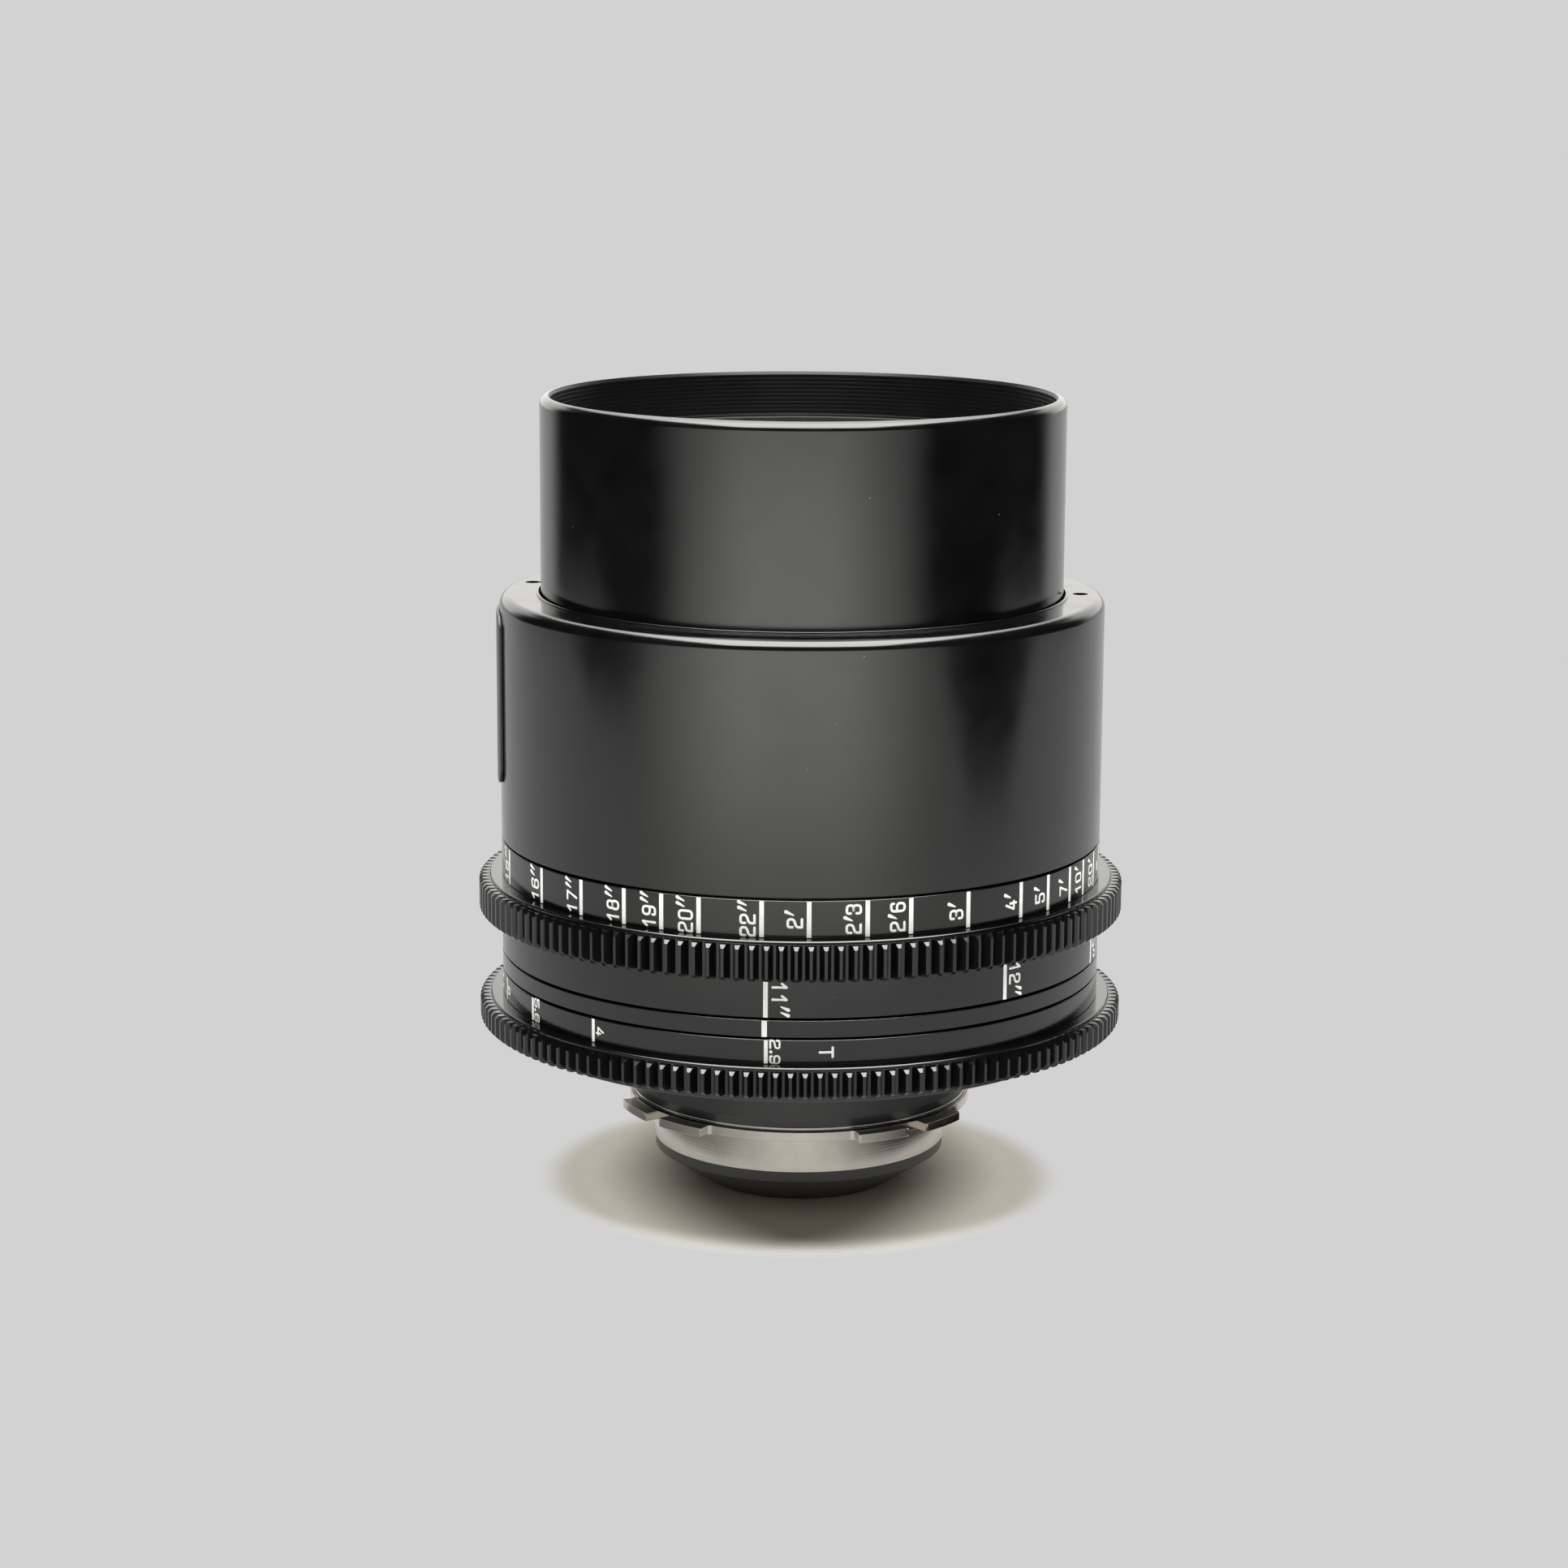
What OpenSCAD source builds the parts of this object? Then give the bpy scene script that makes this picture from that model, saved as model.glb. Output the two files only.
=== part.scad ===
// Cinema prime lens with an extending front barrel.
// Millimetres. The origin is the centre of the mount's flange seat and +Z points to the front of the lens.
// The index line faces -Y. Angles around the lens are counted from there, towards +X.

/* [Lens mount] */
// Outside diameter of the mount spigot
spigot_d = 54; // [52:0.1:56]
// Length of the spigot behind the flange seat
spigot_len = 7.25; // [6:0.05:9]
// Diameter of the bore through the mount
mount_bore_d = 48; // [46:0.1:49]
// Diameter of the flange between its lugs
flange_d = 63.2; // [62.4:0.1:65]
// Thickness of the flange and its lugs
flange_t = 1.65; // [1.4:0.05:3]
// Diameter across the lugs
lug_d = 68.4; // [67:0.1:72]
// Angle that each lug spans
lug_angle = 40.6; // [34:0.2:48]
// Width of the notch in the middle of each lug
notch_w = 4; // [3:0.1:6]
// Radius of the fillet where a lug leaves the flange
lug_fillet = 0.8; // [0.4:0.1:1.2]
// Height of the undercut between flange and shim
undercut_h = 0.25; // [0.15:0.05:0.6]
// Diameter of the undercut
undercut_d = 61.4; // [61:0.1:62]
// Thickness of the shim
shim_t = 0.45; // [0.2:0.05:0.8]
// Outside diameter of the shim
shim_d = 62; // [61.4:0.1:62.6]
// Number of mount screws
mount_screws_n = 6; // [4:1:8]
// Gap between the spigot and the head of a mount screw
mount_head_gap = 0.4; // [0.3:0.05:0.6]
// Angle from the index to the first mount screw
mount_screw_angle = 30; // [20:1:40]
// Length of a mount screw
mount_screw_len = 5.2; // [4.6:0.1:6]

/* [Rear baffle] */
// Height of the baffle cone
baffle_h = 8.05; // [6:0.05:10]
// Diameter of the flat end that the lens stands on
baffle_end_d = 34.8; // [32.6:0.2:40]
// Diameter of the rear opening
baffle_opening_d = 29.6; // [24:0.2:30.6]
// Step of the cone inside the spigot's edge
baffle_step = 0.2; // [0.1:0.05:0.6]
// Wall of the baffle
baffle_wall = 1.4; // [1:0.1:1.6]
// Length of the collar that goes into the mount
baffle_collar = 4; // [3:0.1:6]
// Height of the steep rim that the baffle's cone starts from
baffle_edge_h = 1.9; // [1:0.1:3]
// Taper of that rim, measured on the radius
baffle_edge_taper = 0.25; // [0.15:0.05:0.5]

/* [Rear adapter] */
// Diameter of the adapter's neck
adapter_d = 62.8; // [62.6:0.1:66]
// Height of the neck from the shim to the rear plate
adapter_h = 11.2; // [10:0.1:14]
// Height of the tapered foot of the neck
adapter_foot_h = 1.6; // [0.8:0.1:3]
// Height of the thick foot that the mount screws hold
adapter_boss_h = 4; // [3.6:0.1:5]
// Wall of the neck
adapter_wall = 1.9; // [1.5:0.1:2]
// Diameter of the rear plate
plate_d = 106; // [102:0.5:108]
// Thickness of the rear plate
plate_t = 2; // [1.6:0.1:3]
// Number of rear plate screws
plate_screws_n = 6; // [3:1:8]
// Pitch circle diameter of the rear plate screws
plate_screw_pcd = 84; // [76:1:88]

/* [Core and rings] */
// Diameter of the index ring and the two control rings
ring_d = 110; // [109.6:0.1:112]
// Diameter of the journal that the iris ring turns on
journal_d = 102; // [101.6:0.1:103]
// Diameter of the hubs that carry the gears
hub_d = 107.2; // [106.8:0.1:107.8]
// Thickness of the core's floor
core_floor_t = 2; // [1.6:0.1:2.4]
// Wall of the core under the guide sleeve
core_wall = 4.5; // [4.2:0.1:5]
// Diameter of the hole in the core's floor
core_bore_d = 61; // [60:0.5:64]
// Height of the index ring
index_h = 3.1; // [2.5:0.1:4]
// Height of the iris ring's scale band
iris_band_h = 4.35; // [4:0.05:6]
// Height of the iris gear with its collar
iris_gear_h = 5.1; // [4.6:0.1:7]
// Height of the focus ring's lower scale band
focus_low_h = 7.35; // [6.5:0.05:10]
// Height of the focus gear with its collar
focus_gear_h = 6.8; // [6:0.1:10]
// Height of the focus ring's upper scale band
focus_high_h = 6.55; // [5:0.05:9]
// Gap between a turning ring and its neighbour
seam = 0.35; // [0.25:0.05:0.5]
// Chamfer along the edges of the rings
edge = 0.3; // [0.2:0.05:0.5]

/* [Gears] */
// Gear module
gear_module = 0.8; // [0.8:0.1:0.8]
// Number of teeth on each gear
gear_teeth = 146; // [144:1:148]
// Width of a tooth at its tip
tooth_tip_w = 0.56; // [0.4:0.02:0.7]
// Width of the flat between two teeth
tooth_gap_w = 0.46; // [0.36:0.02:0.6]
// Chamfer on the ends of the teeth
tooth_chamfer = 0.6; // [0.3:0.05:0.8]
// Height of the plain collar above the teeth
collar_h = 0.6; // [0.4:0.05:0.9]
// Step from the collar to the roots of the teeth
collar_step = 0.15; // [0.05:0.05:0.3]

/* [Outer body] */
// Wall of the outer body
body_wall = 3.13; // [2.8:0.01:4]
// Height of the outer body
body_h = 44.5; // [42:0.5:52]
// Thickness of the shoulder
shoulder_t = 3; // [2.8:0.1:4]
// Radius of the shoulder's outer edge
shoulder_r = 2.2; // [1:0.1:2.6]
// Gap between the shoulder and the front barrel
shoulder_gap = 0.4; // [0.3:0.05:0.6]
// Gap between the outer body and the cam sleeve
body_gap = 0.5; // [0.4:0.05:0.7]
// Diameter of the two pin wrench holes in the shoulder
wrench_hole_d = 2; // [1.5:0.1:2.4]
// Depth of a wrench hole
wrench_hole_depth = 1.8; // [1:0.1:2.2]
// Circle diameter of the wrench holes
wrench_pcd = 102; // [101:0.2:103]
// Angle from the index to each wrench hole
wrench_angle = 97; // [90:1:110]
// Width of the side plate
side_plate_w = 35; // [25:0.5:40]
// Height of the side plate
side_plate_h = 31; // [24:0.5:34]
// Distance from the shoulder down to the side plate
side_plate_drop = 3; // [2.7:0.1:6]
// Thickness of the side plate
side_plate_t = 0.6; // [0.4:0.1:1.2]
// Corner radius of the side plate
side_plate_r = 3; // [1:0.5:5]
// Angle from the index to the middle of the side plate
side_plate_angle = -90; // [-100:1:-80]

/* [Front barrel] */
// Outside diameter of the front barrel
barrel_d = 95; // [94.6:0.1:95.4]
// Whole length of the front barrel
barrel_len = 72.8; // [66:0.1:90]
// Height of the barrel's foot over the core's ledge at infinity
foot_clear = 4.8; // [3:0.1:8]
// Wall of the barrel's skirt
skirt_wall = 2.5; // [2.2:0.1:2.8]
// Radius of the front rim
rim_r = 1.6; // [0.8:0.1:1.7]
// Minor diameter of the front filter thread
thread_d = 91.18; // [90.8:0.02:91.4]
// Depth of the filter thread
thread_len = 8.2; // [6:0.1:10]
// Step of the seat under the filter thread
seat_step = 1; // [0.9:0.05:1.2]
// Height of the ledge that carries the front baffle
ledge_t = 3; // [2:0.1:4]
// Width of the ledge
ledge_w = 1.4; // [1:0.1:2]
// Thickness of the foot flange inside the skirt
foot_t = 2; // [1.6:0.1:2.4]
// Width of the foot flange, measured from the skirt's outside
foot_w = 6.5; // [6.2:0.1:7]

/* [Front baffle] */
// Thickness of the baffle's top flange
baffle_flange_t = 1.6; // [1.2:0.1:2]
// Radial width of the baffle's flat rim
baffle_rim_w = 2.8; // [2.6:0.1:4]
// Gap from the end of the filter thread down to the baffle
baffle_drop = 0.3; // [0.2:0.05:0.6]
// Inside diameter of the baffle at its lower end
baffle_low_d = 36; // [35:0.2:38]
// Wall of the baffle
funnel_wall = 1.5; // [1.2:0.1:2]
// Number of light trap steps
baffle_steps = 24; // [12:1:30]

/* [Focus mechanism] */
// Clearance of the front barrel in the guide sleeve
slide_gap = 0.12; // [0.1:0.01:0.14]
// Wall of the guide sleeve
guide_wall = 1.7; // [1.5:0.05:1.8]
// Depth of the guide sleeve's seat in the core
guide_seat = 3.8; // [3.2:0.1:4.4]
// Clearance between the guide sleeve and the cam sleeve
cam_gap = 0.15; // [0.12:0.01:0.18]
// Wall of the cam sleeve
cam_wall = 1.9; // [1.7:0.05:2]
// Rise of the cam slots in one turn
cam_lead = 36.8; // [36:0.1:37.6]
// Travel from the modelled focus to the nearest focus
travel_near = 0.4; // [0.2:0.1:4.6]
// Travel from the modelled focus to infinity
travel_far = 27.3; // [20:0.1:30]
// Number of cam rollers
rollers_n = 3; // [3:1:3]
// Diameter of a cam roller
roller_d = 4; // [3:0.1:4.4]
// Clearance beside a roller in its slots
roller_gap = 0.2; // [0.15:0.01:0.25]
// Height of the rollers above the barrel's lower end
roller_up = 9; // [8.4:0.1:12]
// Diameter of a roller's stud
roller_stud_d = 2.4; // [2:0.1:2.6]
// Angle from the index to the first roller
roller_angle = 30; // [0:1:60]
// Width of a drive key
key_w = 5; // [4:0.1:7]
// Height of a drive key
key_h = 3; // [2:0.1:4]
// Clearance between pieces that are fixed to each other
fit_gap = 0.05; // [0.03:0.01:0.08]
// Clearance of the iris ring on its journal
journal_gap = 0.1; // [0.08:0.01:0.12]

/* [Optical cells] */
// Thickness of the carrier plate
carrier_t = 3; // [2.6:0.1:3.4]
// Number of carrier screws
carrier_screws_n = 6; // [3:1:8]
// Diameter of the front cell at its nose
nose_d = 44; // [42:0.2:46]
// Height of the nose above the carrier plate
nose_h = 2; // [1.6:0.1:2.6]
// Diameter of the front cell under the carrier plate
front_cell_d = 48; // [47:0.2:50]
// Length of the front cell under the carrier plate
front_cell_len = 10; // [9.7:0.1:10.4]
// Diameter of the cell flanges and of the iris housing
housing_d = 56; // [55:0.1:56.4]
// Thickness of the cell flanges
cell_flange_t = 1.5; // [1.2:0.1:2]
// Diameter of the ring nut on the nose
nut_d = 54; // [50:0.5:60]
// Diameter of the rear cell
rear_cell_d = 38; // [33:0.5:42]
// Length of the rear cell under its flange
rear_cell_len = 16.5; // [16:0.1:18]
// Diameter of the front lens element
front_element_d = 34; // [32:0.2:35]
// Diameter of the other lens elements
element_d = 28; // [26:0.2:29]
// Width of the lip that the elements rest on
lip_w = 2.5; // [2:0.1:3]
// Thickness of the lips in the cells
lip_t = 1.2; // [1:0.05:1.4]
// Width of the flat rim around a hollow face
flat_rim = 0.8; // [0.5:0.1:1.2]
// Edge thickness of the third element
third_edge = 3.8; // [3.4:0.1:4.2]
// Edge thickness of the second element
second_edge = 2; // [1.6:0.1:2.4]
// Thickness of the front spacer ring
front_spacer_t = 1.5; // [1.2:0.1:2]
// Edge thickness of the front element
front_edge = 2.5; // [2.2:0.1:3]
// Height of the front retaining ring
front_retainer_t = 2; // [1.6:0.1:2.4]
// Edge thickness of the fourth element
fourth_edge = 3.5; // [3.2:0.1:4]
// Edge thickness of the fifth element
fifth_edge = 3; // [2.4:0.1:3.4]
// Thickness of the rear spacer ring
rear_spacer_t = 5.2; // [5:0.1:6]
// Edge thickness of the rear element
rear_edge = 2.2; // [2:0.1:2.6]
// Height of the rear retaining ring
rear_retainer_t = 1.8; // [1.4:0.1:2.2]

/* [Iris] */
// Turn of the iris ring from open to closed, in degrees
iris_turn = 88; // [60:1:90]
// Height of the iris housing
iris_housing_h = 6.5; // [6.2:0.1:8]
// Wall of the iris housing
iris_wall = 3.2; // [3:0.1:3.4]
// Thickness of the iris housing's floor
iris_floor_t = 1; // [0.8:0.1:1.2]
// Number of blades
blades_n = 8; // [8:1:8]
// Thickness of a blade
blade_t = 0.15; // [0.1:0.01:0.18]
// Step in height from one blade to the next
blade_step = 0.3; // [0.28:0.01:0.32]
// Radius of a blade's inner edge
blade_in_r = 11; // [10.6:0.1:11.4]
// Width of a blade
blade_w = 6; // [5:0.1:6.1]
// Angle that a blade spans
blade_angle = 125; // [115:1:130]
// Radius of the circle of blade pivots
pivot_r = 20.5; // [20.2:0.1:20.8]
// Swing of a blade from open to closed, in degrees
blade_swing = 27; // [20:0.5:27]
// Radius at which the drive pins start
pin_start_r = 22.3; // [22.1:0.1:22.5]
// Angle from a blade's pivot to its drive pin
pin_lead_angle = 24; // [22:0.5:25]
// Diameter of the blade pins
pin_d = 1; // [0.8:0.05:1.1]
// Clearance around the blade pins
pin_gap = 0.12; // [0.1:0.01:0.14]
// Thickness of the iris drive ring
drive_t = 1.2; // [0.8:0.1:1.4]
// Angle from the index to the iris drive bar with the iris open
bar_angle = 150; // [140:1:160]
// Width of the drive bar
bar_w = 4; // [3:0.1:5]
// Radial thickness of the drive bar
bar_t = 2; // [1.5:0.1:2.5]
// Radius of the drive bar's middle
bar_r = 37; // [35:0.5:38.5]
// Height of the arm that carries the drive bar
arm_h = 3; // [2.5:0.1:3.4]
// Height of the arm above the underside of the iris ring
arm_up = 3.6; // [3.4:0.1:4]

/* [Hidden] */
$fn = 96;
eps = 0.01;
black = [0.06, 0.06, 0.065];
dark = [0.1, 0.1, 0.105];
nickel = [0.72, 0.69, 0.64];
steel = [0.55, 0.55, 0.56];
brass = [0.7, 0.55, 0.28];
glass = [0.55, 0.65, 0.8, 0.5];
blade_grey = [0.22, 0.22, 0.23];

// Heights along the axis, from the flange seat to the front rim
z_shim = flange_t + undercut_h;
z_adapter = z_shim + shim_t;
z_plate = z_adapter + adapter_h;
z_core = z_plate + plate_t;
z_iris = z_core + seam;
z_iris_band = z_iris + iris_gear_h;
z_iris_top = z_iris_band + iris_band_h;
z_index = z_iris_top + seam;
z_core_top = z_index + index_h;
z_focus = z_core_top + seam;
z_focus_gear = z_focus + focus_low_h;
z_focus_band = z_focus_gear + focus_gear_h;
z_focus_top = z_focus_band + focus_high_h;
z_body = z_focus_top + seam;
z_shoulder = z_body + body_h;
z_guide = z_core_top - guide_seat;
z_foot = z_guide + foot_clear + travel_far;
z_rim = z_foot + barrel_len;
z_thread = z_rim - thread_len;
z_seat = z_thread - baffle_flange_t;
z_carrier = z_foot + foot_t;
z_carrier_top = z_carrier + carrier_t;
z_nose = z_carrier_top + nose_h;
z_roller = z_foot + roller_up;
z_front_cell = z_carrier - front_cell_len;
z_housing = z_front_cell - iris_housing_h;
z_rear_flange = z_housing - cell_flange_t;
z_rear_cell = z_rear_flange - rear_cell_len;
z_blades = z_housing + iris_floor_t + blade_step;
z_drive = z_blades + blades_n * blade_step + blade_step;
z_arm = z_iris + arm_up;

// Radii from the axis outwards
barrel_r = barrel_d / 2;
skirt_in_r = barrel_r - skirt_wall;
guide_in_r = barrel_r + slide_gap;
guide_out_r = guide_in_r + guide_wall;
cam_in_r = guide_out_r + cam_gap;
cam_out_r = cam_in_r + cam_wall;
body_in_r = cam_out_r + body_gap;
body_r = body_in_r + body_wall;
journal_r = journal_d / 2;
hub_r = hub_d / 2;
ring_r = ring_d / 2;
iris_in_r = journal_r + journal_gap;
core_in_r = journal_r - core_wall;
chamber_r = housing_d / 2 - iris_wall;
foot_in_r = barrel_r - foot_w;
carrier_screw_r = (foot_in_r + skirt_in_r) / 2;
cell_screw_r = housing_d / 2 - iris_wall / 2;
adapter_bore_r = adapter_d / 2 - adapter_wall;
boss_bore_r = mount_bore_d / 2 + 2 * fit_gap;

// Gear circles
pitch_r = gear_module * gear_teeth / 2;
tip_r = pitch_r + gear_module;
root_r = pitch_r - 1.25 * gear_module;
tooth_pitch_angle = 360 / gear_teeth;

// Screw sizes, radius of head and shank
small_shank_r = 0.8;
small_head_r = 1.5;
small_head_h = 1.2;
mount_head_r = 1.6;
mount_screw_r = spigot_d / 2 + mount_head_r + mount_head_gap;
plate_head_r = 2;
plate_head_h = 1.2;

// Lever of the iris drive ring
fork_prong = 2;
fork_gap = 0.15;
lever_w = bar_w + 2 * fork_gap + 2 * fork_prong;
lever_reach = bar_r + bar_t;
drive_in_r = pin_start_r - 5.8;
drive_out_r = chamber_r - blade_step;
blade_ratio = blade_swing / iris_turn;
blade_out_r = blade_in_r + blade_w;
tab_out_r = pin_start_r + 0.9;
window_gap = 1.5;

// Turns +X to an angle counted from the index at -Y
module at_angle(a) {
    rotate([0, 0, a - 90]) children();
}

// Copies a shape evenly around the axis
module around(n, first = 0) {
    for (i = [0 : n - 1]) at_angle(first + i * 360 / n) children();
}

// Solid disc between two heights
module disc(r, z0, z1) {
    translate([0, 0, z0]) cylinder(r = r, h = z1 - z0);
}

// Ring between two heights
module tube(out_r, in_r, z0, z1) {
    difference() {
        disc(out_r, z0, z1);
        disc(in_r, z0 - 1, z1 + 1);
    }
}

// Ring with chamfered outer edges
module edged_tube(out_r, in_r, z0, z1) {
    rotate_extrude()
        polygon([[in_r, z0], [out_r - edge, z0], [out_r, z0 + edge], [out_r, z1 - edge],
            [out_r - edge, z1], [in_r, z1]]);
}

// Part of a ring between two angles
module arc_band(in_r, out_r, z0, z1, a0, a1) {
    rotate([0, 0, a0 - 90])
        rotate_extrude(angle = a1 - a0)
            translate([in_r, z0]) square([out_r - in_r, z1 - z0]);
}

// Flat quarter disc that rounds an outer top edge
module quarter_round(x, y, r) {
    translate([x, y]) intersection() {
        circle(r = r);
        square(r);
    }
}

// Upright pin at a radius on +X
module post(r, at_r, z0, z1) {
    translate([at_r, 0, z0]) cylinder(r = r, h = z1 - z0);
}

// Pin along +X between two radii
module radial_pin(r, r0, r1, z) {
    translate([r0, 0, z]) rotate([0, 90, 0]) cylinder(r = r, h = r1 - r0);
}

// Radial box on +X
module radial_box(r0, r1, w, z0, z1) {
    translate([r0, -w / 2, z0]) cube([r1 - r0, w, z1 - z0]);
}

// Outline of the flange: round, with four notched lugs that leave it in small fillets
module flange_outline() {
    lug_end = asin(lug_fillet / (flange_d / 2 + lug_fillet));
    difference() {
        union() {
            circle(d = flange_d);
            for (k = [0 : 3]) rotate(45 + 90 * k) {
                intersection() {
                    circle(d = lug_d);
                    wedge(lug_angle / 2, lug_d);
                }
                intersection() {
                    circle(r = flange_d / 2 + lug_fillet);
                    wedge(lug_angle / 2 + lug_end, lug_d);
                }
            }
        }
        for (k = [0 : 3]) rotate(45 + 90 * k) {
            translate([flange_d / 2, -notch_w / 2]) square([lug_d, notch_w]);
            for (s = [-1, 1])
                rotate(s * (lug_angle / 2 + lug_end))
                    translate([flange_d / 2 + lug_fillet, 0]) circle(r = lug_fillet);
        }
    }
}

// Flat sector of a half angle around +X
module wedge(half, size) {
    polygon([[0, 0], size * [cos(half), -sin(half)], size * [1, 0], size * [cos(half), sin(half)]]);
}

module lens_mount() {
    head_h = mount_head_r - small_shank_r;
    color(nickel) difference() {
        union() {
            linear_extrude(flange_t) flange_outline();
            disc(undercut_d / 2, flange_t - eps, z_shim);
            disc(spigot_d / 2, -spigot_len, eps);
        }
        disc(mount_bore_d / 2, -spigot_len - 1, z_shim + 1);
        around(mount_screws_n, mount_screw_angle) {
            post(small_shank_r + fit_gap, mount_screw_r, -1, z_shim + 1);
            translate([mount_screw_r, 0, -eps])
                cylinder(r1 = mount_head_r + fit_gap, r2 = small_shank_r + fit_gap, h = head_h);
        }
    }
}

module mount_shim() {
    color(steel) difference() {
        tube(shim_d / 2, boss_bore_r, z_shim, z_adapter);
        around(mount_screws_n, mount_screw_angle)
            post(small_shank_r + 2 * fit_gap, mount_screw_r, z_shim - 1, z_adapter + 1);
    }
}

module mount_screws() {
    head_h = mount_head_r - small_shank_r;
    color(steel) around(mount_screws_n, mount_screw_angle) {
        translate([mount_screw_r, 0, 0]) cylinder(r1 = mount_head_r, r2 = small_shank_r, h = head_h);
        post(small_shank_r, mount_screw_r, head_h - eps, mount_screw_len);
    }
}

module rear_baffle() {
    z_low = -spigot_len - baffle_h;
    z_rim_low = -spigot_len - baffle_edge_h;
    top_r = spigot_d / 2 - baffle_step;
    collar_r = mount_bore_d / 2 - fit_gap;
    color(black) rotate_extrude()
        polygon([[baffle_opening_d / 2, z_low], [baffle_end_d / 2, z_low],
            [top_r - baffle_edge_taper, z_rim_low], [top_r, -spigot_len],
            [collar_r, -spigot_len], [collar_r, -spigot_len + baffle_collar],
            [collar_r - baffle_wall, -spigot_len + baffle_collar], [collar_r - baffle_wall, z_rim_low],
            [baffle_end_d / 2 - baffle_wall, z_low + baffle_wall],
            [baffle_opening_d / 2, z_low + baffle_wall]]);
}

module rear_adapter() {
    color(black) difference() {
        rotate_extrude()
            polygon([[boss_bore_r, z_adapter], [shim_d / 2, z_adapter],
                [adapter_d / 2, z_adapter + adapter_foot_h], [adapter_d / 2, z_plate],
                [plate_d / 2 - edge, z_plate], [plate_d / 2, z_plate + edge], [plate_d / 2, z_core],
                [adapter_bore_r, z_core], [adapter_bore_r, z_adapter + adapter_boss_h],
                [boss_bore_r, z_adapter + adapter_boss_h]]);
        around(mount_screws_n, mount_screw_angle)
            post(small_shank_r + fit_gap, mount_screw_r, z_adapter - 1, mount_screw_len + fit_gap);
        around(plate_screws_n) {
            post(small_shank_r + fit_gap, plate_screw_pcd / 2, z_plate - 1, z_core + 1);
            post(plate_head_r + fit_gap, plate_screw_pcd / 2, z_plate - 1, z_plate + plate_head_h);
        }
    }
}

module plate_screws() {
    color(steel) around(plate_screws_n) {
        post(plate_head_r, plate_screw_pcd / 2, z_plate, z_plate + plate_head_h);
        post(small_shank_r, plate_screw_pcd / 2, z_plate + plate_head_h - eps, z_core + core_floor_t);
    }
}

module core_barrel() {
    seat_r = guide_out_r + fit_gap;
    half = asin(bar_w / 2 / core_in_r) + window_gap;
    color(black) difference() {
        rotate_extrude()
            polygon([[core_bore_d / 2, z_core], [journal_r, z_core], [journal_r, z_index],
                [ring_r - edge, z_index], [ring_r, z_index + edge], [ring_r, z_core_top - edge],
                [ring_r - edge, z_core_top], [seat_r, z_core_top], [seat_r, z_guide], [core_in_r, z_guide],
                [core_in_r, z_core + core_floor_t], [core_bore_d / 2, z_core + core_floor_t]]);
        arc_band(core_in_r - 1, journal_r + 1, z_arm - seam, z_arm + arm_h + seam,
            bar_angle - half, bar_angle + iris_turn + half);
        around(plate_screws_n)
            post(small_shank_r + fit_gap, plate_screw_pcd / 2, z_core - 1, z_core + core_floor_t + 1);
    }
}

module guide_sleeve() {
    slot_r = roller_d / 2 + roller_gap;
    color(brass) difference() {
        tube(guide_out_r, guide_in_r, z_guide, z_shoulder - shoulder_t);
        around(rollers_n, roller_angle) {
            radial_box(guide_in_r - 2, guide_out_r + 1, 2 * slot_r,
                z_roller - travel_far, z_roller + travel_near);
            radial_pin(slot_r, guide_in_r - 2, guide_out_r + 1, z_roller - travel_far);
            radial_pin(slot_r, guide_in_r - 2, guide_out_r + 1, z_roller + travel_near);
        }
    }
}

module outer_body() {
    z_under = z_shoulder - shoulder_t;
    color(black) difference() {
        rotate_extrude() {
            polygon([[body_in_r, z_body], [body_r - edge, z_body], [body_r, z_body + edge],
                [body_r, z_shoulder - shoulder_r], [body_r - shoulder_r, z_shoulder],
                [barrel_r + shoulder_gap, z_shoulder], [barrel_r + shoulder_gap, z_under],
                [body_in_r, z_under]]);
            quarter_round(body_r - shoulder_r, z_shoulder - shoulder_r, shoulder_r);
        }
        for (s = [-1, 1]) at_angle(s * wrench_angle)
            post(wrench_hole_d / 2, wrench_pcd / 2, z_shoulder - wrench_hole_depth, z_shoulder + 1);
    }
}

module side_plate() {
    z_mid = z_shoulder - side_plate_drop - side_plate_h / 2;
    long = side_plate_h - 2 * side_plate_r;
    wide = side_plate_w - 2 * side_plate_r;
    color(dark) intersection() {
        tube(body_r + side_plate_t, body_r + fit_gap, z_mid - side_plate_h, z_mid + side_plate_h);
        at_angle(side_plate_angle) translate([0, 0, z_mid]) rotate([90, 0, 90]) linear_extrude(2 * body_r) {
            square([wide, side_plate_h], center = true);
            square([side_plate_w, long], center = true);
            for (x = [-1, 1], y = [-1, 1]) translate([x * wide / 2, y * long / 2]) circle(r = side_plate_r);
        }
    }
}

// Outline of a gear as flat topped teeth
function gear_points() = [for (i = [0 : gear_teeth - 1]) for (k = [0 : 3])
    let (tip = k == 1 || k == 2)
    let (r = tip ? tip_r : root_r)
    let (tip_half = tooth_tip_w / 2 / tip_r * 180 / PI)
    let (root_half = tooth_pitch_angle / 2 - tooth_gap_w / 2 / root_r * 180 / PI)
    let (half = tip ? tip_half : root_half)
    let (a = i * tooth_pitch_angle + (k < 2 ? -half : half))
    r * [cos(a), sin(a)]];

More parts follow.
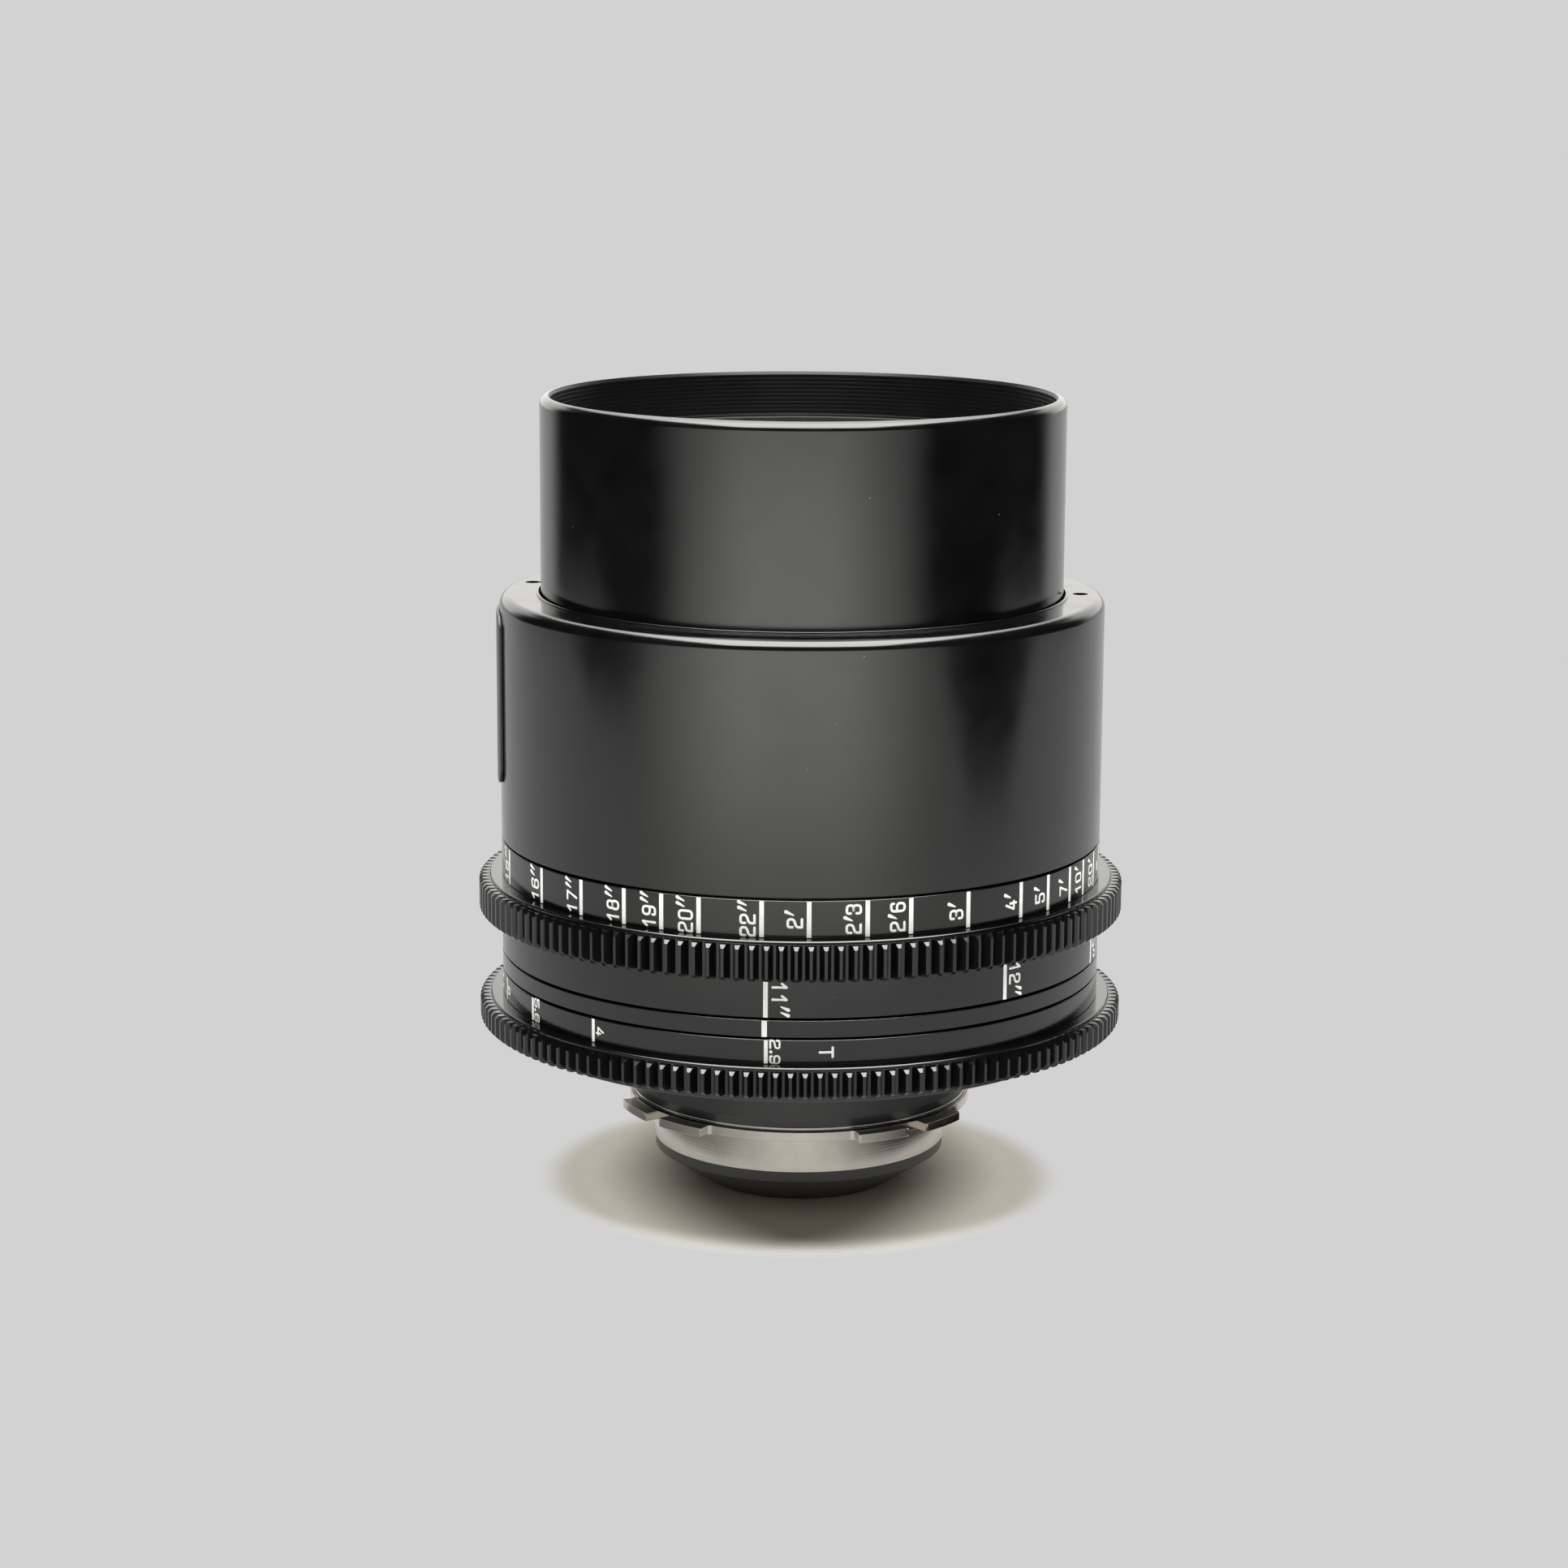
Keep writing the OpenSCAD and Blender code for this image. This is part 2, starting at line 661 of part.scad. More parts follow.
// Gear ring with chamfered teeth under a plain collar, seated on a hub
module gear_ring(z0, height) {
    z1 = z0 + height - collar_h;
    z2 = z0 + height;
    collar_r = root_r - collar_step;
    color(black) difference() {
        union() {
            intersection() {
                translate([0, 0, z0]) linear_extrude(height - collar_h) polygon(gear_points());
                rotate_extrude()
                    polygon([[hub_r - 1, z0], [tip_r - tooth_chamfer, z0], [tip_r, z0 + tooth_chamfer],
                        [tip_r, z1 - tooth_chamfer], [tip_r - tooth_chamfer, z1], [hub_r - 1, z1]]);
            }
            rotate_extrude()
                polygon([[hub_r - 1, z1 - eps], [collar_r, z1 - eps], [collar_r, z2 - edge],
                    [collar_r - edge, z2], [hub_r - 1, z2]]);
        }
        disc(hub_r + fit_gap, z0 - 1, z2 + 1);
    }
}

module focus_ring() {
    z_rib = z_focus + key_h + 2 * edge;
    rib_r = cam_out_r + fit_gap;
    color(black) difference() {
        rotate_extrude()
            polygon([[rib_r, z_focus], [ring_r - edge, z_focus], [ring_r, z_focus + edge],
                [ring_r, z_focus_gear - edge], [ring_r - edge, z_focus_gear], [hub_r, z_focus_gear],
                [hub_r, z_focus_top], [body_in_r, z_focus_top], [body_in_r, z_rib], [rib_r, z_rib]]);
        around(rollers_n)
            radial_box(cam_in_r, hub_r - edge, key_w + 2 * fit_gap, z_focus - 1, z_focus + key_h);
    }
}

module focus_gear() {
    gear_ring(z_focus_gear, focus_gear_h);
}

module focus_scale_ring() {
    color(black) edged_tube(ring_r, hub_r + fit_gap, z_focus_band, z_focus_top);
}

// Points of a cam slot: four corners at each step along its rise
function slot_points(n, r0, r1, half) = [for (i = [0 : n]) for (k = [0 : 3])
    let (end_angle = (roller_d / 2 + roller_gap) / cam_out_r * 180 / PI)
    let (near_angle = 360 * travel_near / cam_lead)
    let (far_angle = 360 * travel_far / cam_lead)
    let (a = -near_angle - end_angle + (near_angle + far_angle + 2 * end_angle) * i / n)
    let (r = k == 0 || k == 3 ? r0 : r1)
    [r * cos(a), r * sin(a), z_roller - cam_lead * a / 360 + (k < 2 ? -half : half)]];

// Triangles around a sweep of four sided steps, with its two ends
function slot_faces(n) = concat(
    [[2, 1, 0], [3, 2, 0], [4 * n, 4 * n + 1, 4 * n + 2], [4 * n, 4 * n + 2, 4 * n + 3]],
    [for (i = [0 : n - 1]) for (k = [0 : 3]) let (a = 4 * i + k, b = 4 * i + (k + 1) % 4) [a, b, b + 4]],
    [for (i = [0 : n - 1]) for (k = [0 : 3]) let (a = 4 * i + k, b = 4 * i + (k + 1) % 4) [a, b + 4, a + 4]]);

module cam_sleeve() {
    steps = 64;
    slope = atan(cam_lead / (2 * PI * cam_out_r));
    half = (roller_d / 2 + roller_gap) / cos(slope);
    color(steel) difference() {
        tube(cam_out_r, cam_in_r, z_focus, z_shoulder - shoulder_t - seam);
        around(rollers_n, roller_angle)
            polyhedron(slot_points(steps, cam_in_r - 1, cam_out_r + 1, half), slot_faces(steps));
        around(rollers_n)
            radial_box(cam_in_r - 1, cam_out_r + 1, key_w + 2 * fit_gap, z_focus - 1, z_focus + key_h);
    }
}

module drive_keys() {
    color(steel) around(rollers_n) intersection() {
        radial_box(0, hub_r - 2 * edge, key_w, z_focus, z_focus + key_h - fit_gap);
        tube(hub_r, cam_in_r, z_focus, z_focus + key_h);
    }
}

module iris_ring() {
    color(black) difference() {
        rotate_extrude()
            polygon([[iris_in_r, z_iris], [hub_r, z_iris], [hub_r, z_iris_band], [ring_r - edge, z_iris_band],
                [ring_r, z_iris_band + edge], [ring_r, z_iris_top - edge], [ring_r - edge, z_iris_top],
                [iris_in_r, z_iris_top]]);
        at_angle(bar_angle)
            radial_box(0, (iris_in_r + hub_r) / 2 + fit_gap, bar_w + 2 * fit_gap,
                z_arm - fit_gap, z_arm + arm_h + fit_gap);
    }
}

module iris_gear() {
    gear_ring(z_iris, iris_gear_h);
}

module iris_drive_bar() {
    z_top = z_drive + drive_t + travel_near + 1.5;
    color(steel) at_angle(bar_angle) {
        radial_box(bar_r - bar_t / 2, (iris_in_r + hub_r) / 2, bar_w, z_arm, z_arm + arm_h);
        radial_box(bar_r - bar_t / 2, bar_r + bar_t / 2, bar_w, z_arm, z_top);
    }
}

module front_barrel() {
    thread_r = thread_d / 2;
    seat_r = thread_r - seat_step;
    ledge_r = seat_r - ledge_w;
    color(black) difference() {
        rotate_extrude() {
            polygon([[foot_in_r, z_foot], [barrel_r, z_foot], [barrel_r, z_rim - rim_r],
                [barrel_r - rim_r, z_rim], [thread_r, z_rim], [thread_r, z_thread], [seat_r, z_thread],
                [seat_r, z_seat], [ledge_r, z_seat], [ledge_r, z_seat - ledge_t],
                [skirt_in_r, z_seat - ledge_t], [skirt_in_r, z_carrier], [foot_in_r, z_carrier]]);
            quarter_round(barrel_r - rim_r, z_rim - rim_r, rim_r);
        }
        around(rollers_n, roller_angle)
            radial_pin(roller_stud_d / 2 + fit_gap, skirt_in_r - 1, barrel_r + 1, z_roller);
        around(carrier_screws_n)
            post(small_shank_r + fit_gap, carrier_screw_r, z_foot - 1, z_carrier + 1);
    }
}

module front_baffle() {
    flange_r = thread_d / 2 - seat_step - fit_gap;
    high_r = flange_r - baffle_rim_w;
    low_r = baffle_low_d / 2;
    ledge_r = thread_d / 2 - seat_step - ledge_w;
    z_top = z_thread - baffle_drop;
    rise = z_top - z_nose;
    stairs = [for (i = [0 : baffle_steps - 1]) for (k = [0, 1])
        [low_r + (high_r - low_r) * i / (baffle_steps - 1), z_nose + rise * (i + k) / baffle_steps]];
    color(black) rotate_extrude()
        polygon(concat(stairs, [[flange_r, z_top], [flange_r, z_seat], [ledge_r - 2 * fit_gap, z_seat],
            [low_r + funnel_wall, z_nose]]));
}

module cam_rollers() {
    color(steel) around(rollers_n, roller_angle) {
        radial_pin(roller_stud_d / 2, skirt_in_r - edge, guide_in_r, z_roller);
        intersection() {
            radial_pin(roller_d / 2, barrel_r - roller_d, cam_out_r, z_roller);
            tube(cam_out_r - fit_gap, barrel_r + fit_gap, z_roller - roller_d, z_roller + roller_d);
        }
    }
}

module carrier_plate() {
    half = asin(bar_w / 2 / (bar_r - bar_t / 2)) + window_gap;
    color(dark) difference() {
        tube(skirt_in_r - fit_gap, nose_d / 2 + fit_gap, z_carrier, z_carrier_top);
        arc_band(bar_r - bar_t / 2 - 2 * seam, bar_r + bar_t / 2 + 2 * seam, z_carrier - 1, z_carrier_top + 1,
            bar_angle - half, bar_angle + iris_turn + half);
        around(carrier_screws_n)
            post(small_shank_r + fit_gap, carrier_screw_r, z_carrier - 1, z_carrier_top + 1);
    }
}

module carrier_screws() {
    color(steel) around(carrier_screws_n) {
        post(small_shank_r, carrier_screw_r, z_foot + edge, z_carrier_top + eps);
        post(small_head_r, carrier_screw_r, z_carrier_top, z_carrier_top + small_head_h);
    }
}

module cell_nut() {
    color(black) edged_tube(nut_d / 2, nose_d / 2 + fit_gap, z_carrier_top, z_nose);
}

// Positions of the elements in the front cell, from its lip forwards
z_third = z_front_cell + lip_t;
z_second = z_third + third_edge;
z_front_spacer = z_second + second_edge;
z_front_element = z_front_spacer + front_spacer_t;
z_front_retainer = z_front_element + front_edge;

module front_cell() {
    element_r = element_d / 2 + fit_gap;
    front_r = front_element_d / 2 + fit_gap;
    lip_r = element_d / 2 - lip_w;
    z_flange = z_front_cell + cell_flange_t;
    color(black) difference() {
        rotate_extrude()
            polygon([[lip_r, z_front_cell], [housing_d / 2, z_front_cell], [housing_d / 2, z_flange],
                [front_cell_d / 2, z_flange], [front_cell_d / 2, z_carrier], [nose_d / 2, z_carrier],
                [nose_d / 2, z_nose], [front_r, z_nose], [front_r, z_front_element],
                [element_r, z_front_element], [element_r, z_third], [lip_r, z_third]]);
        cell_screw_places() post(small_shank_r + fit_gap, cell_screw_r, z_front_cell - 1, z_flange + 1);
    }
}

// Height of a spherical cap over an edge radius
function cap_h(r, edge_r) = r - sqrt(r * r - edge_r * edge_r);

// Height of a polished face at a radius, over the circle where the face starts
function face_rise(face_r, edge_r, r) = cap_h(face_r, edge_r) - cap_h(face_r, r);

// Ring whose ends lean to lie along polished faces: each end has a height at the outside and at the inside
module seat_ring(out_r, in_r, low_out, low_in, high_out, high_in) {
    color(black) rotate_extrude()
        polygon([[in_r, low_in], [out_r, low_out], [out_r, high_out], [in_r, high_in]]);
}

// Lens element between two edge heights. A positive radius bulges outwards, a negative one is hollow
// and 0 is flat
module element(edge_r, z0, z1, front_r, back_r) {
    front_edge_r = front_r < 0 ? edge_r - flat_rim : edge_r;
    back_edge_r = back_r < 0 ? edge_r - flat_rim : edge_r;
    front_h = front_r == 0 ? 0 : cap_h(abs(front_r), front_edge_r);
    back_h = back_r == 0 ? 0 : cap_h(abs(back_r), back_edge_r);
    z_high = z1 + (front_r > 0 ? front_h : 0);
    z_low = z0 - (back_r > 0 ? back_h : 0);
    color(glass) difference() {
        intersection() {
            disc(edge_r, z_low, z_high);
            if (front_r > 0) translate([0, 0, z_high - front_r]) sphere(r = front_r);
            if (back_r > 0) translate([0, 0, z_low + back_r]) sphere(r = back_r);
        }
        if (front_r < 0) translate([0, 0, z1 - front_h - front_r]) sphere(r = -front_r);
        if (back_r < 0) translate([0, 0, z0 + back_h + back_r]) sphere(r = -back_r);
    }
}

// Radii of the polished faces
front_face_r = 45;
front_back_r = 90;
second_face_r = 40;
third_back_r = 45;
fourth_face_r = 40;
fifth_back_r = 32;
rear_face_r = 60;
rear_back_r = 40;

module front_element() {
    element(front_element_d / 2, z_front_element, z_front_retainer, front_face_r, -front_back_r);
}

module front_retainer() {
    out_r = front_element_d / 2;
    in_r = out_r - lip_w / 2;
    low = z_front_retainer + fit_gap;
    high = z_front_retainer + front_retainer_t;
    seat_ring(out_r, in_r, low, low + face_rise(front_face_r, out_r, in_r), high, high - edge);
}

module front_spacer() {
    out_r = element_d / 2;
    in_r = out_r - lip_w / 2;
    hollow_r = front_element_d / 2 - flat_rim;
    low = z_front_spacer + fit_gap;
    high = z_front_element - fit_gap;
    seat_ring(out_r, in_r, low, low + face_rise(second_face_r, out_r, in_r),
        high + face_rise(front_back_r, hollow_r, out_r), high + face_rise(front_back_r, hollow_r, in_r));
}

module second_element() {
    element(element_d / 2, z_second, z_front_spacer, second_face_r, 0);
}

module third_element() {
    element(element_d / 2, z_third, z_second, 0, -third_back_r);
}

// The three screws through the rear cell and the iris housing stand clear of the housing's window
module cell_screw_places() {
    for (a = [-90, 0, 90]) at_angle(a) children();
}

module iris_housing() {
    floor_top = z_housing + iris_floor_t;
    half = asin(lever_w / 2 / chamber_r) + window_gap;
    color(dark) difference() {
        disc(housing_d / 2, z_housing, z_front_cell);
        disc(chamber_r, floor_top, z_front_cell + 1);
        disc(blade_in_r + blade_step, z_housing - 1, floor_top + 1);
        arc_band(chamber_r - 1, housing_d / 2 + 1, z_drive - blade_step, z_drive + drive_t + blade_step,
            bar_angle - half, bar_angle + iris_turn + half);
        around(blades_n) post(pin_d / 2 + pin_gap, pivot_r, z_housing - 1, floor_top + 1);
        cell_screw_places() post(small_shank_r + fit_gap, cell_screw_r, z_housing - 1, z_front_cell + 1);
    }
}

module cell_screws() {
    color(steel) cell_screw_places() {
        post(small_shank_r, cell_screw_r, z_rear_flange - eps, z_front_cell + cell_flange_t);
        post(small_head_r, cell_screw_r, z_rear_flange - small_head_h, z_rear_flange);
    }
}

// Positions of the elements in the rear cell, from its lip backwards
z_fourth_top = z_housing - lip_t;
z_fourth = z_fourth_top - fourth_edge;
z_fifth = z_fourth - fifth_edge;
z_rear_spacer = z_fifth - rear_spacer_t;
z_rear_element = z_rear_spacer - rear_edge;
z_rear_retainer = z_rear_element - rear_retainer_t;

module rear_cell() {
    element_r = element_d / 2 + fit_gap;
    lip_r = element_d / 2 - lip_w;
    color(black) difference() {
        rotate_extrude()
            polygon([[element_r, z_rear_cell], [rear_cell_d / 2 - edge, z_rear_cell],
                [rear_cell_d / 2, z_rear_cell + edge], [rear_cell_d / 2, z_rear_flange],
                [housing_d / 2, z_rear_flange], [housing_d / 2, z_housing], [lip_r, z_housing],
                [lip_r, z_fourth_top], [element_r, z_fourth_top]]);
        cell_screw_places() post(small_shank_r + fit_gap, cell_screw_r, z_rear_flange - 1, z_housing + 1);
    }
}

module fourth_element() {
    element(element_d / 2, z_fourth, z_fourth_top, -fourth_face_r, 0);
}

module fifth_element() {
    element(element_d / 2, z_fifth, z_fourth, 0, fifth_back_r);
}

module rear_spacer() {
    out_r = element_d / 2;
    in_r = out_r - lip_w / 2;
    low = z_rear_spacer + fit_gap;
    high = z_fifth - fit_gap;
    seat_ring(out_r, in_r, low, low + face_rise(rear_face_r, out_r, in_r),
        high, high - face_rise(fifth_back_r, out_r, in_r));
}

module rear_element() {
    element(element_d / 2, z_rear_element, z_rear_spacer, rear_face_r, rear_back_r);
}

module rear_retainer() {
    out_r = element_d / 2;
    in_r = out_r - lip_w / 2;
    high = z_rear_element - fit_gap;
    seat_ring(out_r, in_r, z_rear_retainer, z_rear_retainer + edge,
        high, high - face_rise(rear_back_r, out_r, in_r));
}

// Place of a blade's drive pin in the drive ring, when the ring has turned by t
function drive_pin(t) =
    let (b = blade_ratio * t)
    let (vx = pin_start_r * cos(pin_lead_angle) - pivot_r)
    let (vy = pin_start_r * sin(pin_lead_angle))
    let (x = pivot_r + vx * cos(b) - vy * sin(b))
    let (y = vx * sin(b) + vy * cos(b))
    [x * cos(t) + y * sin(t), y * cos(t) - x * sin(t)];

// Point on one side of a drive slot
function slot_side(t, side) =
    let (p = drive_pin(t))
    let (d = drive_pin(t + 0.5) - p)
    p + side * (pin_d / 2 + pin_gap) / norm(d) * [-d.y, d.x];

module iris_drive_ring() {
    slot_steps = 24;
    over = 3;
    times = [for (i = [0 : slot_steps]) -over + (iris_turn + 2 * over) * i / slot_steps];
    slot = concat([for (t = times) slot_side(t, 1)],
        [for (i = [slot_steps : -1 : 0]) slot_side(times[i], -1)]);
    z1 = z_drive + drive_t;
    color(steel) difference() {
        union() {
            disc(drive_out_r, z_drive, z1);
            at_angle(bar_angle) radial_box(drive_out_r - 2, lever_reach, lever_w, z_drive, z1);
        }
        disc(drive_in_r, z_drive - 1, z1 + 1);
        at_angle(bar_angle)
            radial_box(bar_r - bar_t / 2 - seam, lever_reach + 1, bar_w + 2 * fork_gap, z_drive - 1, z1 + 1);
        around(blades_n)
            translate([0, 0, z_drive - 1]) linear_extrude(drive_t + 2) polygon(slot);
    }
}

module iris_blade(i) {
    z0 = z_blades + (i - 1) * blade_step;
    z1 = z0 + blade_t;
    pivot_angle = (i - 1) * 360 / blades_n;
    tab_side = 3.5;
    color(blade_grey) {
        arc_band(blade_in_r, blade_out_r, z0, z1, pivot_angle - tab_side, pivot_angle + blade_angle);
        arc_band(blade_out_r - blade_w / 4, tab_out_r, z0, z1, pivot_angle - tab_side,
            pivot_angle + pin_lead_angle + tab_side);
        at_angle(pivot_angle) post(pin_d / 2, pivot_r, z_housing + edge, z1);
        at_angle(pivot_angle + pin_lead_angle) post(pin_d / 2, pin_start_r, z0, z_drive + drive_t);
    }
}

lens_mount();
mount_shim();
mount_screws();
rear_baffle();
rear_adapter();
plate_screws();
core_barrel();
guide_sleeve();
outer_body();
side_plate();
focus_ring();
focus_gear();
focus_scale_ring();
cam_sleeve();
drive_keys();
iris_ring();
iris_gear();
iris_drive_bar();
front_barrel();
front_baffle();
cam_rollers();
carrier_plate();
carrier_screws();
cell_nut();
front_cell();
front_retainer();
front_element();
front_spacer();
second_element();
third_element();
iris_housing();
cell_screws();
rear_cell();
fourth_element();
fifth_element();
rear_spacer();
rear_element();
rear_retainer();
iris_drive_ring();
iris_blade(1);  // iris_blade_1
iris_blade(2);  // iris_blade_2
iris_blade(3);  // iris_blade_3
iris_blade(4);  // iris_blade_4
iris_blade(5);  // iris_blade_5
iris_blade(6);  // iris_blade_6
iris_blade(7);  // iris_blade_7
iris_blade(8);  // iris_blade_8
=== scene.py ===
"""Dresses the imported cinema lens: smooth turned shapes, finishes, scale marks, studio and camera."""

import logging
import math
from collections.abc import Callable
from dataclasses import dataclass, field
from enum import Enum

import bpy
import numpy as np
from mathutils import Matrix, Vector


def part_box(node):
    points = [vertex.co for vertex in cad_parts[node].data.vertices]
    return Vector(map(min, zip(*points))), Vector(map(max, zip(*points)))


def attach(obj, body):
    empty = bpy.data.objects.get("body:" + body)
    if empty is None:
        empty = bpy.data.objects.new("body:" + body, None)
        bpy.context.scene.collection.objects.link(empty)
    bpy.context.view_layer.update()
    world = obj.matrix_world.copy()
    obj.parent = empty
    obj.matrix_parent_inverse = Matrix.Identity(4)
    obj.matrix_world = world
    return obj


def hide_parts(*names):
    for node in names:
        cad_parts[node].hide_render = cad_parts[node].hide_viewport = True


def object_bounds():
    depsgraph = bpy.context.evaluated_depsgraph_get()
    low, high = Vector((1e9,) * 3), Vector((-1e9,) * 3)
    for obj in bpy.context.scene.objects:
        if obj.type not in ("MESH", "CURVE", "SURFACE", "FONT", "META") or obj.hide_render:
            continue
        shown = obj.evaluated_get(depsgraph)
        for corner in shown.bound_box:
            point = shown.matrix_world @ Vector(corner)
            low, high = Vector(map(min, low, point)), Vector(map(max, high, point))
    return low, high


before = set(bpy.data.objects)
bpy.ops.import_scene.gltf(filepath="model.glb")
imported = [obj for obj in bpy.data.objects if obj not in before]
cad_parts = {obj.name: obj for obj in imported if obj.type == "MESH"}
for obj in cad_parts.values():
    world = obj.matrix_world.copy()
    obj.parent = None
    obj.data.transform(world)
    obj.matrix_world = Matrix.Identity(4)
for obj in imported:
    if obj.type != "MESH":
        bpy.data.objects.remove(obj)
CAD_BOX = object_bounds()

MM = 0.001
SEGMENTS = 240
MERGE = 1e-6
Point = tuple[float, float]
Place = tuple[float, float, float]
Obj = bpy.types.Object
Material = bpy.types.Material
Socket = bpy.types.NodeSocket

logging.basicConfig(level=logging.INFO, format="%(name)s: %(message)s")
log = logging.getLogger("lens")


class Body(Enum):
    """Groups of pieces that move as one."""

    HOUSING = "housing"
    FOCUS = "focus_group"
    IRIS = "iris_group"
    FRONT = "front_group"


class Slot(Enum):
    """Material slots of the record."""

    ANODISED = "black_anodised"
    MATT = "matt_black"
    PLATE = "plate_black"
    NICKEL = "nickel"
    STEEL = "steel"


class Reading(Enum):
    """Way that a label on a ring is read: up towards the front of the lens, or down."""

    UP = 1
    DOWN = -1


# Modelling helpers


def deselect() -> None:
    """Goes back to object mode with nothing selected."""
    if bpy.context.mode != "OBJECT":
        bpy.ops.object.mode_set(mode="OBJECT")
    bpy.ops.object.select_all(action="DESELECT")


def pick(obj: Obj) -> None:
    """Makes one object the selected and active one.

    Args:
        obj: Object to pick.
    """
    deselect()
    obj.select_set(True)
    bpy.context.view_layer.objects.active = obj


def span(node: str) -> Point:
    """Gives the lowest and highest height of a CAD node in millimetres."""
    low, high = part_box(node)
    return round(low.z / MM, 3), round(high.z / MM, 3)


def on_ring(radius: float, angle: float) -> Point:
    """Gives x and y in metres at an angle counted from the index line at -Y, towards +X."""
    turn = math.radians(angle)
    return radius * MM * math.sin(turn), -radius * MM * math.cos(turn)


def arc(centre: Point, radius: float, start: float, end: float, steps: int) -> list[Point]:
    """Gives points along an arc of an outline.

    Args:
        centre: Radius and height of the arc's centre.
        radius: Radius of the arc.
        start: First angle in degrees, 0 pointing outwards and 90 up.
        end: Last angle in degrees.
        steps: Number of steps between them.

    Returns:
        The points with both ends.
    """
    turns = [math.radians(start + (end - start) * i / steps) for i in range(steps + 1)]
    return [(centre[0] + radius * math.cos(t), centre[1] + radius * math.sin(t)) for t in turns]


def chamfered(radius: float, low: float, high: float, edge: float) -> list[Point]:
    """Gives the outer side of a band with a small chamfer at both edges.

    Args:
        radius: Radius of the band.
        low: Its lower height.
        high: Its upper height.
        edge: Size of the chamfers.

    Returns:
        The four points from the bottom up.
    """
    return [(radius - edge, low), (radius, low + edge), (radius, high - edge), (radius - edge, high)]


def edit(obj: Obj) -> None:
    """Opens a piece in edit mode with all its vertices selected.

    Args:
        obj: Piece to work on.
    """
    pick(obj)
    bpy.ops.object.mode_set(mode="EDIT")
    bpy.ops.mesh.select_mode(type="VERT")
    bpy.ops.mesh.select_all(action="SELECT")


def close_shell() -> None:
    """Merges the doubles of the mesh in edit mode, turns its faces outwards and leaves edit mode."""
    bpy.ops.mesh.select_all(action="SELECT")
    bpy.ops.mesh.remove_doubles(threshold=MERGE)
    bpy.ops.mesh.normals_make_consistent(inside=False)
    bpy.ops.object.mode_set(mode="OBJECT")


def apply_place(obj: Obj) -> None:
    """Moves a piece's place, turn and scale into its mesh."""
    pick(obj)
    bpy.ops.object.transform_apply(location=True, rotation=True, scale=True)


def turn_to(obj: Obj, angle: float) -> None:
    """Turns a piece around the lens axis, by an angle in degrees from +X."""
    obj.rotation_euler.z = math.radians(angle)
    apply_place(obj)


def slice_mesh(place: Place, normal: Place, **options: object) -> None:
    """Cuts the whole mesh in edit mode along a plane.

    Args:
        place: Point of the plane in millimetres.
        normal: Direction across the plane.
        options: Further settings of the cut.
    """
    bpy.ops.mesh.select_all(action="SELECT")
    bpy.ops.mesh.bisect(plane_co=[c * MM for c in place], plane_no=normal, **options)


def turned(name: str, outline: list[Point]) -> Obj:
    """Turns a closed outline around the lens axis, extruding a circle from point to point.

    Args:
        name: Name of the piece.
        outline: Radius and height of each point in millimetres.

    Returns:
        The closed ring.
    """
    deselect()
    radius, height = outline[0]
    bpy.ops.mesh.primitive_circle_add(vertices=SEGMENTS, radius=radius * MM, location=(0, 0, height * MM))
    ring = bpy.context.object
    ring.name = name
    apply_place(ring)
    edit(ring)
    for (r0, z0), (r1, z1) in zip(outline, outline[1:] + outline[:1]):
        bpy.ops.mesh.extrude_region_move()
        if r1 != r0:
            bpy.ops.transform.resize(value=(r1 / r0, r1 / r0, 1), center_override=(0, 0, 0))
        if z1 != z0:
            bpy.ops.transform.translate(value=(0, 0, (z1 - z0) * MM))
    close_shell()
    return ring


def block(name: str, size: Place, at: Place = (0, 0, 0)) -> Obj:
    """Adds a block to start a piece from.

    Args:
        name: Name of the piece.
        size: Its three sizes in millimetres.
        at: Place of its middle in millimetres.

    Returns:
        The block, with its place in its mesh.
    """
    deselect()
    bpy.ops.mesh.primitive_cube_add(size=1, location=[c * MM for c in at])
    made = bpy.context.object
    made.name = name
    made.scale = [c * MM for c in size]
    apply_place(made)
    return made


def post(radius: float, at: Point, low: float, high: float, sides: int = 40) -> Obj:
    """Adds an upright pin.

    Args:
        radius: Radius in millimetres.
        at: Place of its middle, x and y in metres.
        low: Lower height in millimetres.
        high: Upper height in millimetres.
        sides: Number of sides.

    Returns:
        The pin, with its place in its mesh.
    """
    deselect()
    bpy.ops.mesh.primitive_cylinder_add(vertices=sides, radius=radius * MM, depth=(high - low) * MM,
                                        location=(at[0], at[1], (low + high) / 2 * MM))
    pin = bpy.context.object
    apply_place(pin)
    return pin


def finish_modifier(obj: Obj, kind: str, **settings: object) -> None:
    """Adds one modifier and applies it.

    Args:
        obj: Piece to work on.
        kind: Blender's name of the modifier.
        settings: Its settings by name.
    """
    pick(obj)
    modifier = obj.modifiers.new(kind.lower(), kind)
    for key, value in settings.items():
        setattr(modifier, key, value)
    bpy.ops.object.modifier_apply(modifier=modifier.name)


def bevel(obj: Obj, width: float, angle: float = 25.0) -> None:
    """Rounds the edges of a piece that are sharper than an angle in degrees, by a width in millimetres."""
    finish_modifier(obj, "BEVEL", width=width * MM, segments=2, limit_method="ANGLE", angle_limit=math.radians(angle))


def even_shading(obj: Obj) -> Obj:
    """Shades a piece smooth, with its large faces flat and its sharp edges kept.

    Args:
        obj: Piece to shade.

    Returns:
        The same piece.
    """
    pick(obj)
    bpy.ops.object.shade_smooth_by_angle(angle=math.radians(35))
    finish_modifier(obj, "WEIGHTED_NORMAL", keep_sharp=True, weight=60)
    return obj


def soften(obj: Obj, width: float, angle: float = 25.0) -> Obj:
    """Rounds the sharp edges of a piece, evens its shading and gives it back."""
    bevel(obj, width, angle)
    return even_shading(obj)


